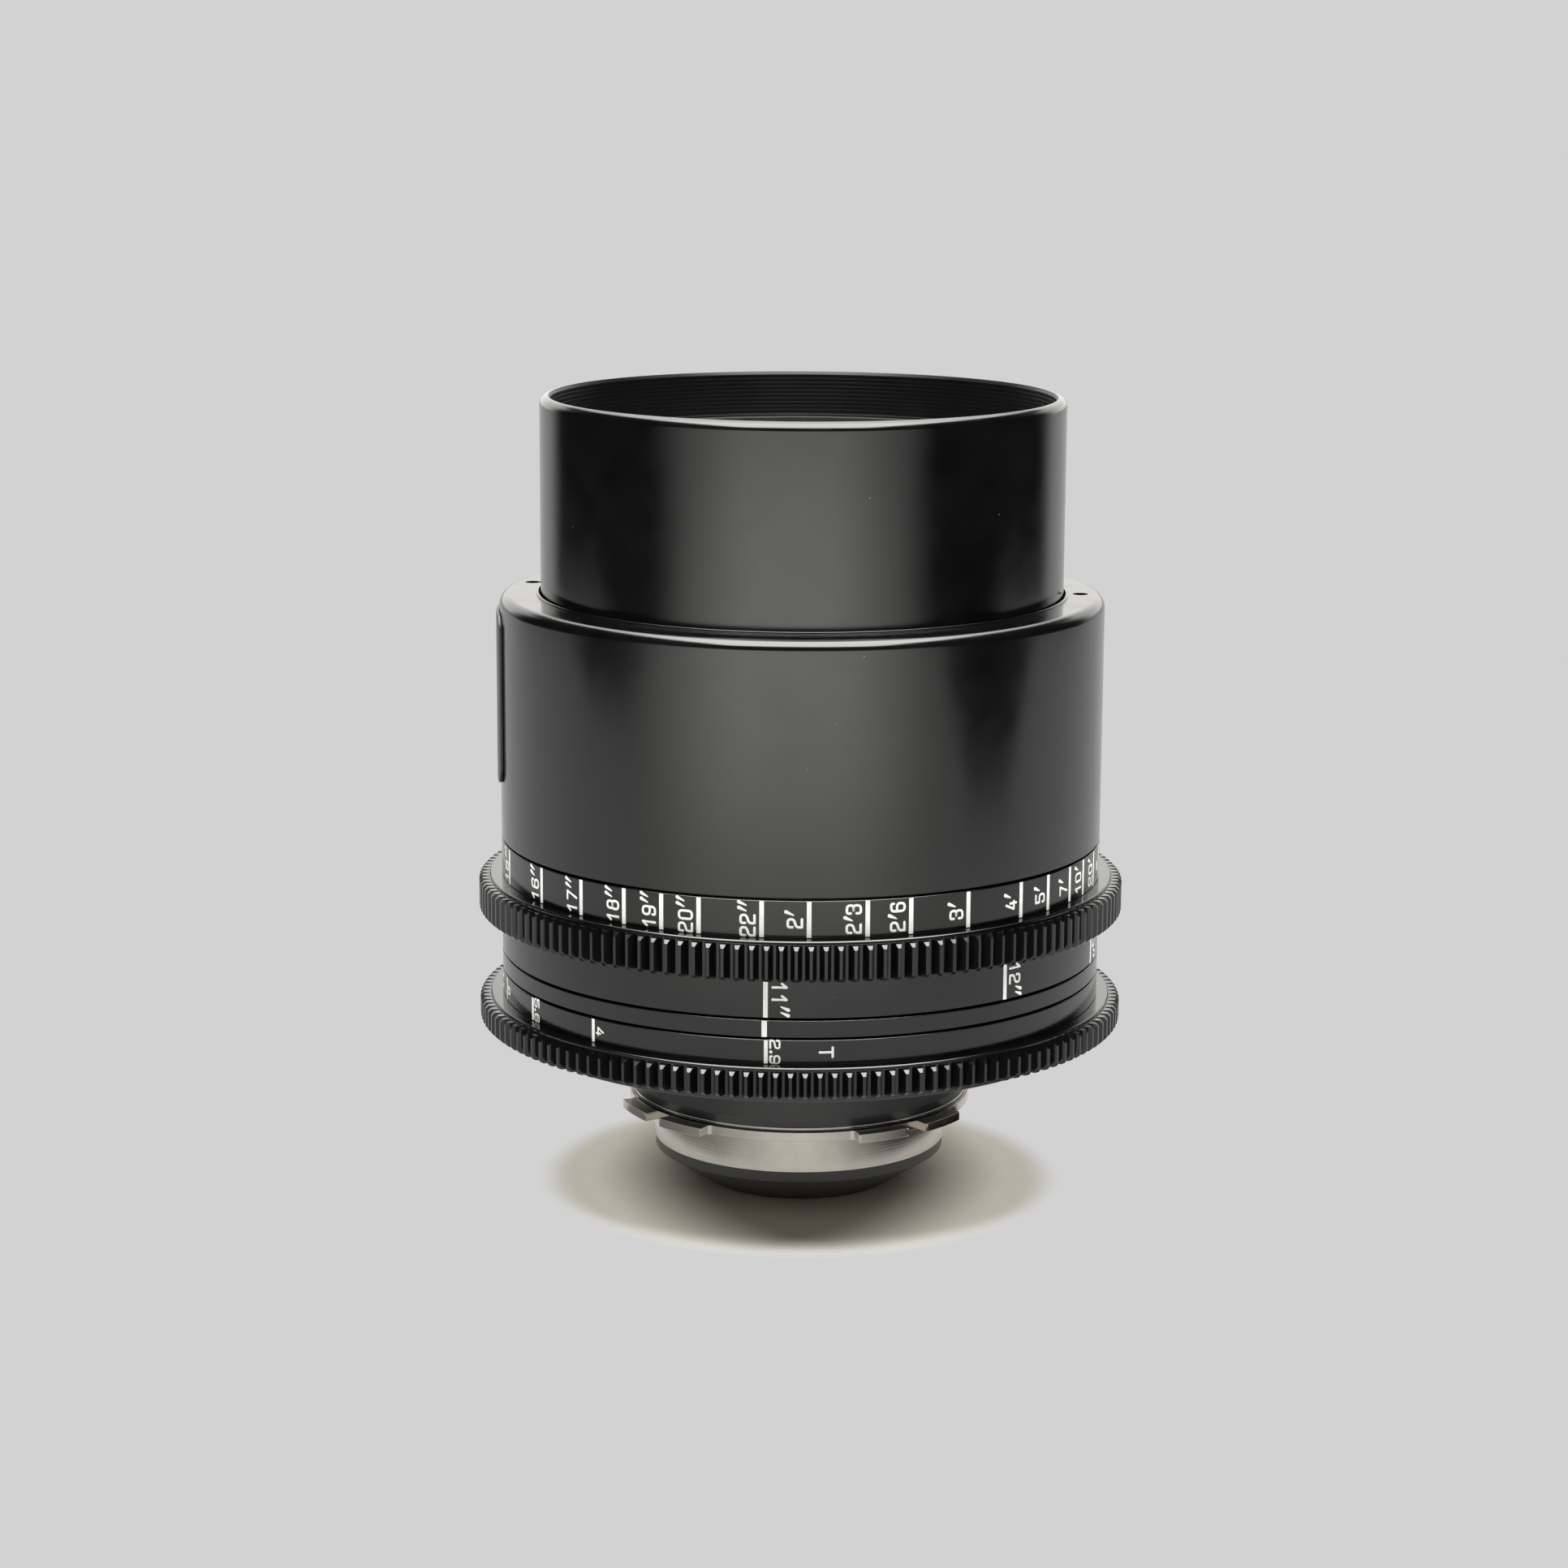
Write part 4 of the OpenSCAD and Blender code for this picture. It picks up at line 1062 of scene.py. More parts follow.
@dataclass
class RearEnd:
    """Neck with the rear plate, mount flange with four notched lugs, shim, screws and rear baffle."""

    neck: float = 31.4
    foot: float = 31.0
    foot_height: float = 1.6
    boss: float = 24.1
    boss_height: float = 4.0
    neck_bore: float = 29.5
    plate: float = 53.0
    plate_height: float = 2.0
    edge: float = 0.3
    spigot: float = 27.0
    bore: float = 24.0
    flange: float = 31.6
    flange_height: float = 1.65
    undercut: float = 30.7
    lug: float = 34.2
    lug_angle: float = 40.6
    notch: float = 4.0
    lug_count: int = 4
    lug_middle: float = 45.0
    lug_sunk: float = 0.6
    lug_fillet: float = 0.9
    fillet_sunk: float = 0.15
    mount_screw_circle: float = 29.0
    mount_screw_first: float = 30.0
    mount_screw_head: float = 1.6
    sink_gap: float = 0.07
    sink_end: float = 0.85
    sink_depth: float = 0.84
    sink_middle: float = 0.4
    screw_count: int = 6
    screw_shank: float = 0.78
    screw_edge: float = 0.12
    socket_depth: float = 0.75
    plate_screw_circle: float = 42.0
    plate_screw_head: float = 2.0
    plate_screw_depth: float = 1.2
    cone_end: float = 17.4
    cone_rim: float = 1.9
    cone_opening: float = 14.8
    cone_wall: float = 1.4
    collar: float = 23.95
    collar_height: float = 4.0

    def build(self, finishes: FinishSet) -> None:
        """Builds all pieces of the rear end.

        Args:
            finishes: Finishes of the lens.
        """
        fit(self.adapter(), finishes.plate, Body.HOUSING, Slot.ANODISED, "rear_adapter")
        fit(self.mount(), finishes.nickel, Body.HOUSING, Slot.NICKEL, "lens_mount")
        low, high = span("mount_shim")
        shim = turned("mount_shim_ring", [(self.boss, low), (self.foot, low), (self.foot, high), (self.boss, high)])
        fit(soften(shim, 0.04), finishes.steel, Body.HOUSING, Slot.STEEL, "mount_shim")
        fit(self.baffle(), finishes.cone, Body.HOUSING, Slot.ANODISED, "rear_baffle")
        for node, head, circle, first, countersunk in (
                ("mount_screws", self.mount_screw_head, self.mount_screw_circle, self.mount_screw_first, True),
                ("plate_screws", self.plate_screw_head, self.plate_screw_circle, 0.0, False)):
            screws = self.screws(node, head, on_ring(circle, first), countersunk)
            fit(screws, finishes.steel, Body.HOUSING, Slot.STEEL, node)

    def adapter(self) -> Obj:
        """Builds the neck with its rear plate and the seats of the plate screws.

        Returns:
            The neck.
        """
        low, high = span("rear_adapter")
        under = high - self.plate_height
        neck = turned("rear_neck_plate", [
            (self.boss, low), (self.foot, low), (self.neck, low + self.foot_height), (self.neck, under),
            (self.plate - self.edge, under), (self.plate, under + self.edge), (self.plate, high),
            (self.neck_bore, high), (self.neck_bore, low + self.boss_height), (self.boss, low + self.boss_height)])
        bevel(neck, 0.08, 12)
        for i in range(self.screw_count):
            place = on_ring(self.plate_screw_circle, 360 * i / self.screw_count)
            cut(neck, post(self.plate_screw_head + 0.08, place, under - 1, under + self.plate_screw_depth + 0.02))
        return even_shading(neck)

    def mount(self) -> Obj:
        """Builds the flange with its spigot, countersinks and lugs.

        Returns:
            The mount.
        """
        low, high = span("lens_mount")
        flange = turned("mount_flange", [
            (self.bore, low), (self.spigot, low), (self.spigot, 0), (self.flange, 0),
            (self.flange, self.flange_height), (self.undercut, self.flange_height), (self.undercut, high),
            (self.bore, high)])
        bevel(flange, 0.1)
        for i in range(self.screw_count):
            x, y = on_ring(self.mount_screw_circle, self.mount_screw_first + 360 * i / self.screw_count)
            deselect()
            bpy.ops.mesh.primitive_cone_add(
                vertices=40, radius1=(self.mount_screw_head + self.sink_gap) * MM, radius2=self.sink_end * MM,
                depth=self.sink_depth * MM, location=(x, y, self.sink_middle * MM))
            sink = bpy.context.object
            apply_place(sink)
            cut(flange, sink)
        return joined(even_shading(flange), copies_around(self.notched_lug(), self.lug_count))

    def notched_lug(self) -> Obj:
        """Models one lug, a part of a ring with a notch in its middle.

        Returns:
            The lug at its first place, with its fillets.
        """
        inner, ends = self.flange - self.lug_sunk, self.lug_angle / 2
        lug = turned("mount_lug", [
            (inner, 0), (self.lug, 0), (self.lug, self.flange_height), (inner, self.flange_height)])
        edit(lug)
        for side in (-1, 1):
            end = math.radians(self.lug_middle + side * ends)
            slice_mesh((0, 0, 0), (-side * math.sin(end), side * math.cos(end), 0), use_fill=True, clear_outer=True)
        close_shell()
        notch = block("lug_notch", (6, self.notch, 10), (self.flange + 3, 0, 0))
        turn_to(notch, self.lug_middle)
        cut(lug, notch)
        corners = [self.fillet(self.lug_middle + side * ends, side) for side in (-1, 1)]
        return joined(soften(lug, 0.12, 30), *corners)

    def fillet(self, angle: float, side: int) -> Obj:
        """Models the hollow rounding between a lug's end and the flange.

        Args:
            angle: Angle of the lug's end in degrees, counted from +X.
            side: Which way is off the lug, 1 or -1.

        Returns:
            The rounding, a block with a quarter cut out of it.
        """
        size = self.lug_fillet
        whole, middle = size + self.fillet_sunk, (size - self.fillet_sunk) / 2
        corner = block("lug_fillet", (whole, whole, self.flange_height),
                       (self.flange + middle, side * middle, self.flange_height / 2))
        cut(corner, post(size, ((self.flange + size) * MM, side * size * MM), -1, self.flange_height + 1, 48))
        turn_to(corner, angle)
        return even_shading(corner)

    def baffle(self) -> Obj:
        """Builds the cone behind the mount that the lens stands on.

        Returns:
            The cone.
        """
        low, high = span("rear_baffle")
        step = high - self.collar_height
        cone = turned("rear_baffle_cone", [
            (self.cone_opening, low), (self.cone_end, low), (self.spigot - 0.2, step - self.cone_rim),
            (self.spigot - 0.2, step), (self.collar, step), (self.collar, high),
            (self.collar - self.cone_wall, high), (self.collar - self.cone_wall, step - self.cone_rim),
            (self.cone_end - self.cone_wall, low + self.cone_wall), (self.cone_opening, low + self.cone_wall)])
        return soften(cone, 0.1)

    def screws(self, node: str, head: float, place: Point, countersunk: bool) -> Obj:
        """Models one screw that faces backwards, with a six sided socket, and copies it around.

        Args:
            node: CAD node of the screws.
            head: Radius of the head.
            place: Place of the first screw, x and y in metres.
            countersunk: Whether the head is a cone or a plain cylinder.

        Returns:
            The set as one piece.
        """
        low, high = span(node)
        shank, edge = self.screw_shank, self.screw_edge
        screw = post(head, place, low, low + edge)
        screw.name = node.removesuffix("s") + "_set"
        edit(screw)
        under_top = (low + 0.8 * edge) * MM
        select_by(screw, "FACE", lambda p: p.z > under_top)
        height = head - shank if countersunk else self.plate_screw_depth - 0.14
        taper = shank / head if countersunk else 1.0
        bpy.ops.mesh.extrude_region_move(TRANSFORM_OT_translate={"value": (0, 0, height * MM)})
        bpy.ops.transform.resize(value=(taper, taper, 1), center_override=(place[0], place[1], 0))
        if not countersunk:
            bpy.ops.mesh.inset(thickness=(head - shank) * MM)
        rest = high - low - edge - height
        bpy.ops.mesh.extrude_region_move(TRANSFORM_OT_translate={"value": (0, 0, rest * MM)})
        close_shell()
        bevel(screw, 0.06, 30)
        cut(screw, post(head / 2, place, low - 1, low + self.socket_depth, 6))
        return copies_around(even_shading(screw), self.screw_count)


# Scale marks

STROKES: dict[str, list[list[Point]]] = {
    "0": [[(0, 0.5), (0, 0), (1, 0), (1, 1), (0, 1), (0, 0.5)]],
    "1": [[(0.16, 0.67), (0.62, 1)], [(0.62, 1), (0.62, 0)]],
    "2": [[(0, 0.68), (0, 1), (1, 1), (1, 0.57), (0, 0.4), (0, 0)], [(0, 0), (1, 0)]],
    "3": [[(0, 0.72), (0, 1), (1, 1), (1, 0.52), (0.35, 0.52)], [(0.35, 0.52), (1, 0.52), (1, 0), (0, 0), (0, 0.3)]],
    "4": [[(0.76, 0), (0.76, 0.6)], [(0.58, 1), (0, 0.24)], [(0, 0.24), (1, 0.24)]],
    "5": [[(0.95, 1), (0, 1)], [(0, 1), (0, 0.58)], [(0, 0.58), (1, 0.58), (1, 0), (0, 0), (0, 0.22)]],
    "6": [[(0.95, 0.8), (0.95, 1), (0, 1), (0, 0), (1, 0), (1, 0.57), (0.02, 0.57)]],
    "7": [[(0, 1), (1, 1)], [(1, 1), (0.36, 0)]],
    "8": [[(0.5, 0.53), (0, 0.53), (0, 0), (1, 0), (1, 0.53), (0.5, 0.53)],
          [(0.5, 0.53), (0.06, 0.53), (0.06, 1), (0.94, 1), (0.94, 0.53), (0.5, 0.53)]],
    "9": [[(0.05, 0.2), (0.05, 0), (1, 0), (1, 1), (0, 1), (0, 0.43), (0.98, 0.43)]],
    "T": [[(0, 1), (1, 1)], [(0.5, 1), (0.5, 0)]],
    "o": [[(0.5, 0.5), (0.2, 0.75), (-0.1, 0.5), (0.2, 0.25), (0.5, 0.5), (0.8, 0.75), (1.1, 0.5), (0.8, 0.25),
           (0.5, 0.5)]],
}
DROPS: dict[str, list[tuple[Point, Point]]] = {
    "'": [((-0.03, 0.61), (0.365, 1.13))],
    '"': [((-0.03, 0.61), (0.365, 1.13)), ((0.68, 0.61), (1.08, 1.13))],
}
WIDTHS: dict[str, float] = {"'": 0.49, '"': 1.1, ".": 0.37, "o": 1.3}


@dataclass
class MarkRow:
    """Row of engraved and filled marks on a ring: lines with labels beside them."""

    name: str
    low: float
    high: float
    body: Body
    reading: Reading
    labels: dict[float, str]
    centre: float | None = None
    radius: float = 55.0
    edge: float = 0.12
    line: float = 0.8
    line_facets: int = 4
    cap: float = 2.85
    width: float = 1.84
    stroke: float = 0.44
    space: float = 0.33
    gap: float = 0.6
    margin: float = 0.12
    proud: float = 0.025
    bare: tuple[str, ...] = ()

    def build(self, finishes: FinishSet) -> None:
        """Builds the whole row as one piece.

        Args:
            finishes: Finishes of the lens.
        """
        parts = []
        for angle, label in self.labels.items():
            if label not in self.bare:
                parts.append(self.tick(angle))
            if label:
                parts.append(self.label(angle, label))
        row = joined(*parts) if len(parts) > 1 else parts[0]
        row.name = self.name
        pick(row)
        bpy.ops.object.shade_smooth_by_angle(angle=math.radians(50))
        fit(row, finishes.white, self.body, None)

    def tick(self, angle: float) -> Obj:
        """Models one line across the band, a thin block that lies on the ring.

        Args:
            angle: Angle of the line from the index.

        Returns:
            The line as a mesh.
        """
        tick = block("tick", (self.line, self.high - self.low - 2 * self.margin, 2 * self.proud))
        edit(tick)
        for i in range(1, self.line_facets):
            slice_mesh(((i / self.line_facets - 0.5) * self.line, 0, 0), (1, 0, 0))
        bpy.ops.object.mode_set(mode="OBJECT")
        self.wrap(tick, angle, (self.low + self.high) / 2, 0.0)
        return tick

    def label(self, angle: float, text: str) -> Obj:
        """Draws a label as rounded strokes and lays it on the ring beside its line.

        Args:
            angle: Angle of the line from the index.
            text: Characters of the label.

        Returns:
            The label as a mesh.
        """
        curve = bpy.data.curves.new("label", "CURVE")
        curve.dimensions = "3D"
        curve.bevel_depth = self.stroke / 2 * MM
        curve.bevel_resolution = 1
        curve.use_fill_caps = True
        long = sum(self.width * WIDTHS.get(c, 1.0) + self.space for c in text) - self.space
        at = -long / 2
        for character in text:
            self.draw(curve, character, at)
            at += self.width * WIDTHS.get(character, 1.0) + self.space
        label = bpy.data.objects.new("label", curve)
        bpy.context.scene.collection.objects.link(label)
        pick(label)
        bpy.ops.object.convert(target="MESH")
        side = self.reading.value
        offset = 0.0 if text in self.bare else self.line / 2 + self.gap
        for vertex in label.data.vertices:
            x, y, z = vertex.co
            vertex.co = (-side * (y + offset * MM), side * x, z * 2 * self.proud / self.stroke)
        middle = (self.low + self.high) / 2 if self.centre is None else self.centre
        self.wrap(label, angle, middle, 0.004)
        return label

    def draw(self, curve: bpy.types.Curve, character: str, at: float) -> None:
        """Adds one character to a label.

        Args:
            curve: Curve of the label.
            character: What to draw.
            at: Where the character starts along the label, in millimetres.
        """
        half = self.stroke / 2
        size = np.array((self.width - self.stroke, self.cap - self.stroke))
        start = np.array((at + half, half))
        for stroke in STROKES.get(character, []):
            self.path(curve, self.rounded([start + np.array(p) * size for p in stroke]), 1.0, 1.0)
        for thin, thick in DROPS.get(character, []):
            self.path(curve, [start + np.array(thin) * size, start + np.array(thick) * size], 0.55, 1.45)
        if character == ".":
            middle = np.array((at + self.width * WIDTHS["."] / 2, half * 1.6))
            self.path(curve, [middle - (0.02, 0), middle + (0.02, 0)], 1.7, 1.7)

    def rounded(self, points: list[np.ndarray]) -> list[np.ndarray]:
        """Rounds the corners of a stroke.

        Args:
            points: Corners of the stroke.

        Returns:
            The corners with short curves in their place.
        """
        path = [points[0]]
        for before, corner, after in zip(points, points[1:], points[2:]):
            back, on = before - corner, after - corner
            reach = min(0.34 * self.width, np.linalg.norm(back) / 2, np.linalg.norm(on) / 2)
            a = corner + back / np.linalg.norm(back) * reach
            b = corner + on / np.linalg.norm(on) * reach
            path += [(1 - t) ** 2 * a + 2 * t * (1 - t) * corner + t * t * b for t in (0, 0.25, 0.5, 0.75, 1)]
        return path + [points[-1]]

    def path(self, curve: bpy.types.Curve, points: list[np.ndarray], first: float, last: float) -> None:
        """Adds a stroke with round ends.

        Args:
            curve: Curve of the label.
            points: Middle line of the stroke in millimetres.
            first: Thickness at the start, as a share of the usual stroke.
            last: Thickness at the end.
        """
        half = self.stroke / 2
        out = (points[0] - points[1]) / np.linalg.norm(points[0] - points[1])
        on = (points[-1] - points[-2]) / np.linalg.norm(points[-1] - points[-2])
        bulge = ((0.97, 0.2), (0.8, 0.6), (0.45, 0.89))
        line = [(points[0] + out * half * first * a, first * b) for a, b in bulge]
        count = len(points) - 1
        line += [(p, first + (last - first) * i / count) for i, p in enumerate(points)]
        line += [(points[-1] + on * half * last * a, last * b) for a, b in reversed(bulge)]
        spline = curve.splines.new("POLY")
        spline.points.add(len(line) - 1)
        for point, (place, thickness) in zip(spline.points, line):
            point.co = (place[0] * MM, place[1] * MM, 0, 1)
            point.radius = thickness

    def wrap(self, obj: Obj, angle: float, height: float, lift: float) -> None:
        """Bends a flat mark around the ring and over the ring's chamfered edges.

        Args:
            obj: Mark in its own plane, with its depth along Z.
            angle: Angle of the mark's origin from the index.
            height: Height of the mark's origin in millimetres.
            lift: How far the mark's middle lies above the ring, in millimetres.
        """
        for vertex in obj.data.vertices:
            x, y, z = vertex.co
            level = height + y / MM
            drop = max(0.0, self.low + self.edge - level, level - self.high + self.edge)
            turn = math.degrees(x / MM / self.radius)
            px, py = on_ring(self.radius - drop + lift + z / MM, angle + turn)
            vertex.co = (px, py, level * MM)
        edit(obj)
        bpy.ops.mesh.normals_make_consistent(inside=False)
        bpy.ops.object.mode_set(mode="OBJECT")


@dataclass
class ScaleMarks:
    """All scales of the lens: two rows of focus marks, the iris marks and the index lines."""

    distances: dict[float, str] = field(default_factory=lambda: {
        -179.9: '11"', -133.2: '12"', -100.6: '13"', -81.9: '14"', -66.3: '15"', -50.0: '16"', -37.8: '17"',
        -27.4: '18"', -19.5: '19"', -12.2: '20"', -0.65: '22"', 7.8: "2'", 18.3: "2'3", 26.4: "2'6", 38.0: "3'",
        50.6: "4'", 58.6: "5'", 66.6: "7'", 73.1: "10'", 80.5: "20'", 87.0: "o"})
    stops: dict[float, str] = field(default_factory=lambda: {
        0.2: "2.9", -34.8: "4", -53.9: "5.6", -69.6: "8", -78.0: "11", -83.6: "16", -87.5: "22"})

    def build(self, finishes: FinishSet) -> None:
        """Builds each row on its ring.

        Args:
            finishes: Finishes of the lens.
        """
        low, high = span("focus_scale_ring")
        MarkRow("focus_upper_marks", low, high, Body.FOCUS, Reading.UP, self.distances).build(finishes)
        low, high = span("focus_ring")[0], span("focus_gear")[0]
        opposite = {angle + 180: label for angle, label in self.distances.items()}
        MarkRow("focus_lower_marks", low, high, Body.FOCUS, Reading.DOWN, opposite, low + 3.4).build(finishes)
        low, high = span("iris_gear")[1], span("iris_ring")[1]
        small = {"cap": 1.93, "width": 1.66, "stroke": 0.33, "space": 0.22, "gap": 0.26, "line": 0.68}
        MarkRow("iris_marks", low, high, Body.IRIS, Reading.DOWN, self.stops, **small).build(finishes)
        MarkRow("iris_letter", low, high, Body.IRIS, Reading.DOWN, {9.65: "T"}, cap=2.64, width=2.11, stroke=0.42,
                bare=("T",)).build(finishes)
        high = span("core_barrel")[1]
        MarkRow("index_line", high - 3.1, high, Body.HOUSING, Reading.DOWN, {-0.1: ""}, line=0.92).build(finishes)
        low = span("outer_body")[0]
        MarkRow("rear_index_line", low, low + 5.0, Body.HOUSING, Reading.DOWN, {180.0: ""}).build(finishes)


@dataclass
class InnerWorks:
    """CAD nodes inside the lens that keep their own meshes."""

    black: tuple[str, ...] = ("cell_nut", "front_cell", "front_retainer", "front_spacer", "rear_cell", "rear_spacer",
                              "rear_retainer")
    dark: tuple[str, ...] = ("carrier_plate", "iris_housing")
    steel: tuple[str, ...] = ("cam_sleeve", "drive_keys", "iris_drive_bar", "cam_rollers", "carrier_screws",
                              "cell_screws", "iris_drive_ring")
    brass: tuple[str, ...] = ("guide_sleeve",)
    glass: tuple[str, ...] = ("front_element", "second_element", "third_element", "fourth_element", "fifth_element",
                              "rear_element")
    blades: tuple[str, ...] = tuple(f"iris_blade_{i}" for i in range(1, 9))

    def build(self, finishes: FinishSet) -> None:
        """Dresses each node with its finish.

        Args:
            finishes: Finishes of the lens.
        """
        pairs = ((self.black, finishes.matt), (self.dark, finishes.plate), (self.steel, finishes.steel),
                 (self.brass, finishes.brass), (self.glass, finishes.glass), (self.blades, finishes.blade))
        for names, material in pairs:
            for name in names:
                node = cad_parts[name]
                node.data.materials.clear()
                node.data.materials.append(material)
                log.info("%s: dressed", name)


# Studio


@dataclass
class Studio:
    """Pale floor, soft lights, screens that shape the reflections, and the camera."""

    grey: float = 0.6444
    bounce: float = 1.7
    dark: float = 0.05
    fill: tuple = (0.2, 0.19, 0.165)
    warm: tuple = (1.0, 0.985, 0.955)
    patch_tone: tuple = (0.82, 0.785, 0.7)
    patch_start: float = 42.0
    patch_end: float = 49.5
    patch_centre: tuple = (0.2, -1.8)
    lights: tuple = (("front_top_light", 70.0, 0.0, 22.0, 2.6), ("left_light", 48.0, -88.0, 20.0, 1.9),
                     ("right_light", 48.0, 88.0, 20.0, 1.9))
    lens: float = 84.691
    place: tuple = (71.839, -661.289, 196.06)
    heading: float = 6.468
    pitch: float = 11.657
    roll: float = 0.29
    front_fan: float = 59.0
    front_narrowing: float = 0.14
    front_turn: float = -5.0
    front_side: float = 0.38
    front_near: float = 0.05
    front_bend: float = 0.6
    front_far: float = 0.9
    front_loss: float = 0.25
    front_glow: float = 2.1
    front_base: float = 0.88
    front_start: float = 0.21
    front_first: float = 0.26
    front_full: float = 0.56
    front_end: float = 2.0
    # near settings: a sheet on the ground near the mount whose glow carries painted shade of the floor, seen only in
    # reflections
    near_glow: float = 0.72
    near_left_painted_shade: float = 0.75
    near_right_painted_shade: float = 1.0
    near_start: float = 0.052
    near_end: float = 0.13
    near_fan: float = 110.0
    near_fade: float = 70.0
    near_edge: float = 0.3
    top_height: float = 1.15
    top_width: float = 0.8
    top_start: float = -1.35
    top_length: float = 3.15
    top_side: float = 0.2
    top_edge: float = 0.08
    top_loss: float = 1.7
    top_glow: float = 9.5
    back_start: float = 120.0
    back_fan: float = 120.0
    back_low: float = 0.1
    back_height: float = 0.46
    back_side: float = 0.2
    back_edge: float = 0.1
    back_glow: float = 1.55
    back_distance: float = 0.9
    flag_distance: float = 0.42
    flag_height: float = 0.55
    flag_foot: float = 0.05
    flag_tongue: float = 5.0
    flag_slope: float = 20.0
    flag_glow: float = 0.003
    flags: tuple = (("left_flag", -42.0, -100.0, (-45, -66, -122, -138), -72, 0.03),
                    ("right_flag", 36.0, 100.0, (38, 56, 118, 134), 70, 0.0045))

    def build(self) -> None:
        """Builds floor, lights, screens and camera."""
        self.floor()
        self.world()
        for light in self.lights:
            self.light(*light)
        self.screen = self.screen_material()
        self.card("front_card", 48, 64, self.front_shape)
        # near_card: painted shade of the floor close to the mount, seen only in reflections
        self.card("near_card", 48, 8, self.near_shape)
        self.card("top_card", 16, 32, self.top_shape)
        self.card("back_card", 24, 8, self.back_shape)
        for name, first, fan, edges, tongue, low in self.flags:
            self.card(name, 96, 4, lambda u, v: self.flag_shape(first + fan * u, v, edges, tongue, low))
        self.camera()

    def floor(self) -> None:
        """Adds the floor: evenly pale, with a patch around the lens that takes its shadow."""
        deselect()
        bpy.ops.mesh.primitive_plane_add(size=60, location=(0, 0, CAD_BOX[0].z))
        floor = bpy.context.object
        floor.name = "floor"
        shader = Shader("floor_paper")
        shader.set(Roughness=1.0, Specular_IOR_Level=0.0)
        cloud = shader.spread(shader.noise(300.0, 3), 0, 1)
        shader.to(shader.blend(cloud, self.patch_tone, tuple(c * 1.02 for c in self.patch_tone)), "Base Color")
        centre = (self.patch_centre[0] * MM, self.patch_centre[1] * MM, 0)
        away = shader.maths("VectorMath", "DISTANCE", shader.place, centre)
        edge = shader.node("ShaderNodeMapRange", From_Min=self.patch_start * MM, From_Max=self.patch_end * MM)
        edge.interpolation_type = "SMOOTHSTEP"
        shader.links.new(away.outputs["Value"], edge.inputs["Value"])
        even = shader.node("ShaderNodeEmission", Color=(self.grey, self.grey, self.grey, 1))
        path = shader.nodes.new("ShaderNodeLightPath")
        strength = shader.spread(path.outputs["Is Diffuse Ray"], 1.0, self.bounce / self.grey, 0.0, 1.0)
        shader.links.new(strength, even.inputs["Strength"])
        mix = shader.nodes.new("ShaderNodeMixShader")
        shader.links.new(edge.outputs[0], mix.inputs[0])
        shader.links.new(shader.surface.outputs[0], mix.inputs[1])
        shader.links.new(even.outputs[0], mix.inputs[2])
        shader.links.new(mix.outputs[0], shader.nodes["Material Output"].inputs["Surface"])
        shader.material.cycles.emission_sampling = "NONE"
        floor.data.materials.append(shader.material)

    def world(self) -> None:
        """Sets a surround that looks like the floor, fills a little and is dark in reflections."""
        world = bpy.data.worlds.new("studio")
        bpy.context.scene.world = world
        world.use_nodes = True
        world.cycles.sampling_method = "NONE"
        tree = world.node_tree
        path = tree.nodes.new("ShaderNodeLightPath")
        colour: Socket | tuple = (self.dark, self.dark, self.dark)
        for ray, tone in (("Is Camera Ray", (self.grey, self.grey, self.grey)), ("Is Diffuse Ray", self.fill)):
            colour = mix_colours(tree, path.outputs[ray], colour, tone)
        tree.links.new(colour, tree.nodes["Background"].inputs["Color"])

    def light(self, name: str, height: float, side: float, size: float, power: float) -> None:
        """Adds a large soft light that reflections don't show.

        Args:
            name: Name of the light.
            height: Angle above the floor in degrees.
            side: Angle from the camera's side of the lens, towards the right.
            size: How wide the light looks from the lens, in degrees.
            power: Strength of the light.
        """
        deselect()
        bpy.ops.object.light_add(type="SUN", location=(0, 0, 1))
        light = bpy.context.object
        light.name = name
        light.rotation_euler = (math.radians(90 - height), 0, math.radians(self.heading + side))
        light.data.energy = power
        light.data.angle = math.radians(size)
        light.visible_glossy = False

    def screen_material(self) -> Material:
        """Makes the finish of the screens: a glow, and a cover that lets rays pass where it is 0.

        Returns:
            The finish.
        """
        material = bpy.data.materials.new("screen")
        material.use_nodes = True
        nodes, links = material.node_tree.nodes, material.node_tree.links
        nodes.remove(nodes["Principled BSDF"])
        light = nodes.new("ShaderNodeEmission")
        light.inputs["Color"].default_value = (*self.warm, 1)
        clear = nodes.new("ShaderNodeBsdfTransparent")
        mix = nodes.new("ShaderNodeMixShader")
        for name, socket in (("glow", light.inputs["Strength"]), ("cover", mix.inputs[0])):
            amount = nodes.new("ShaderNodeAttribute")
            amount.attribute_name = name
            links.new(amount.outputs["Fac"], socket)
        links.new(clear.outputs[0], mix.inputs[1])
        links.new(light.outputs[0], mix.inputs[2])
        links.new(mix.outputs[0], nodes["Material Output"].inputs["Surface"])
        material.cycles.emission_sampling = "NONE"
        return material

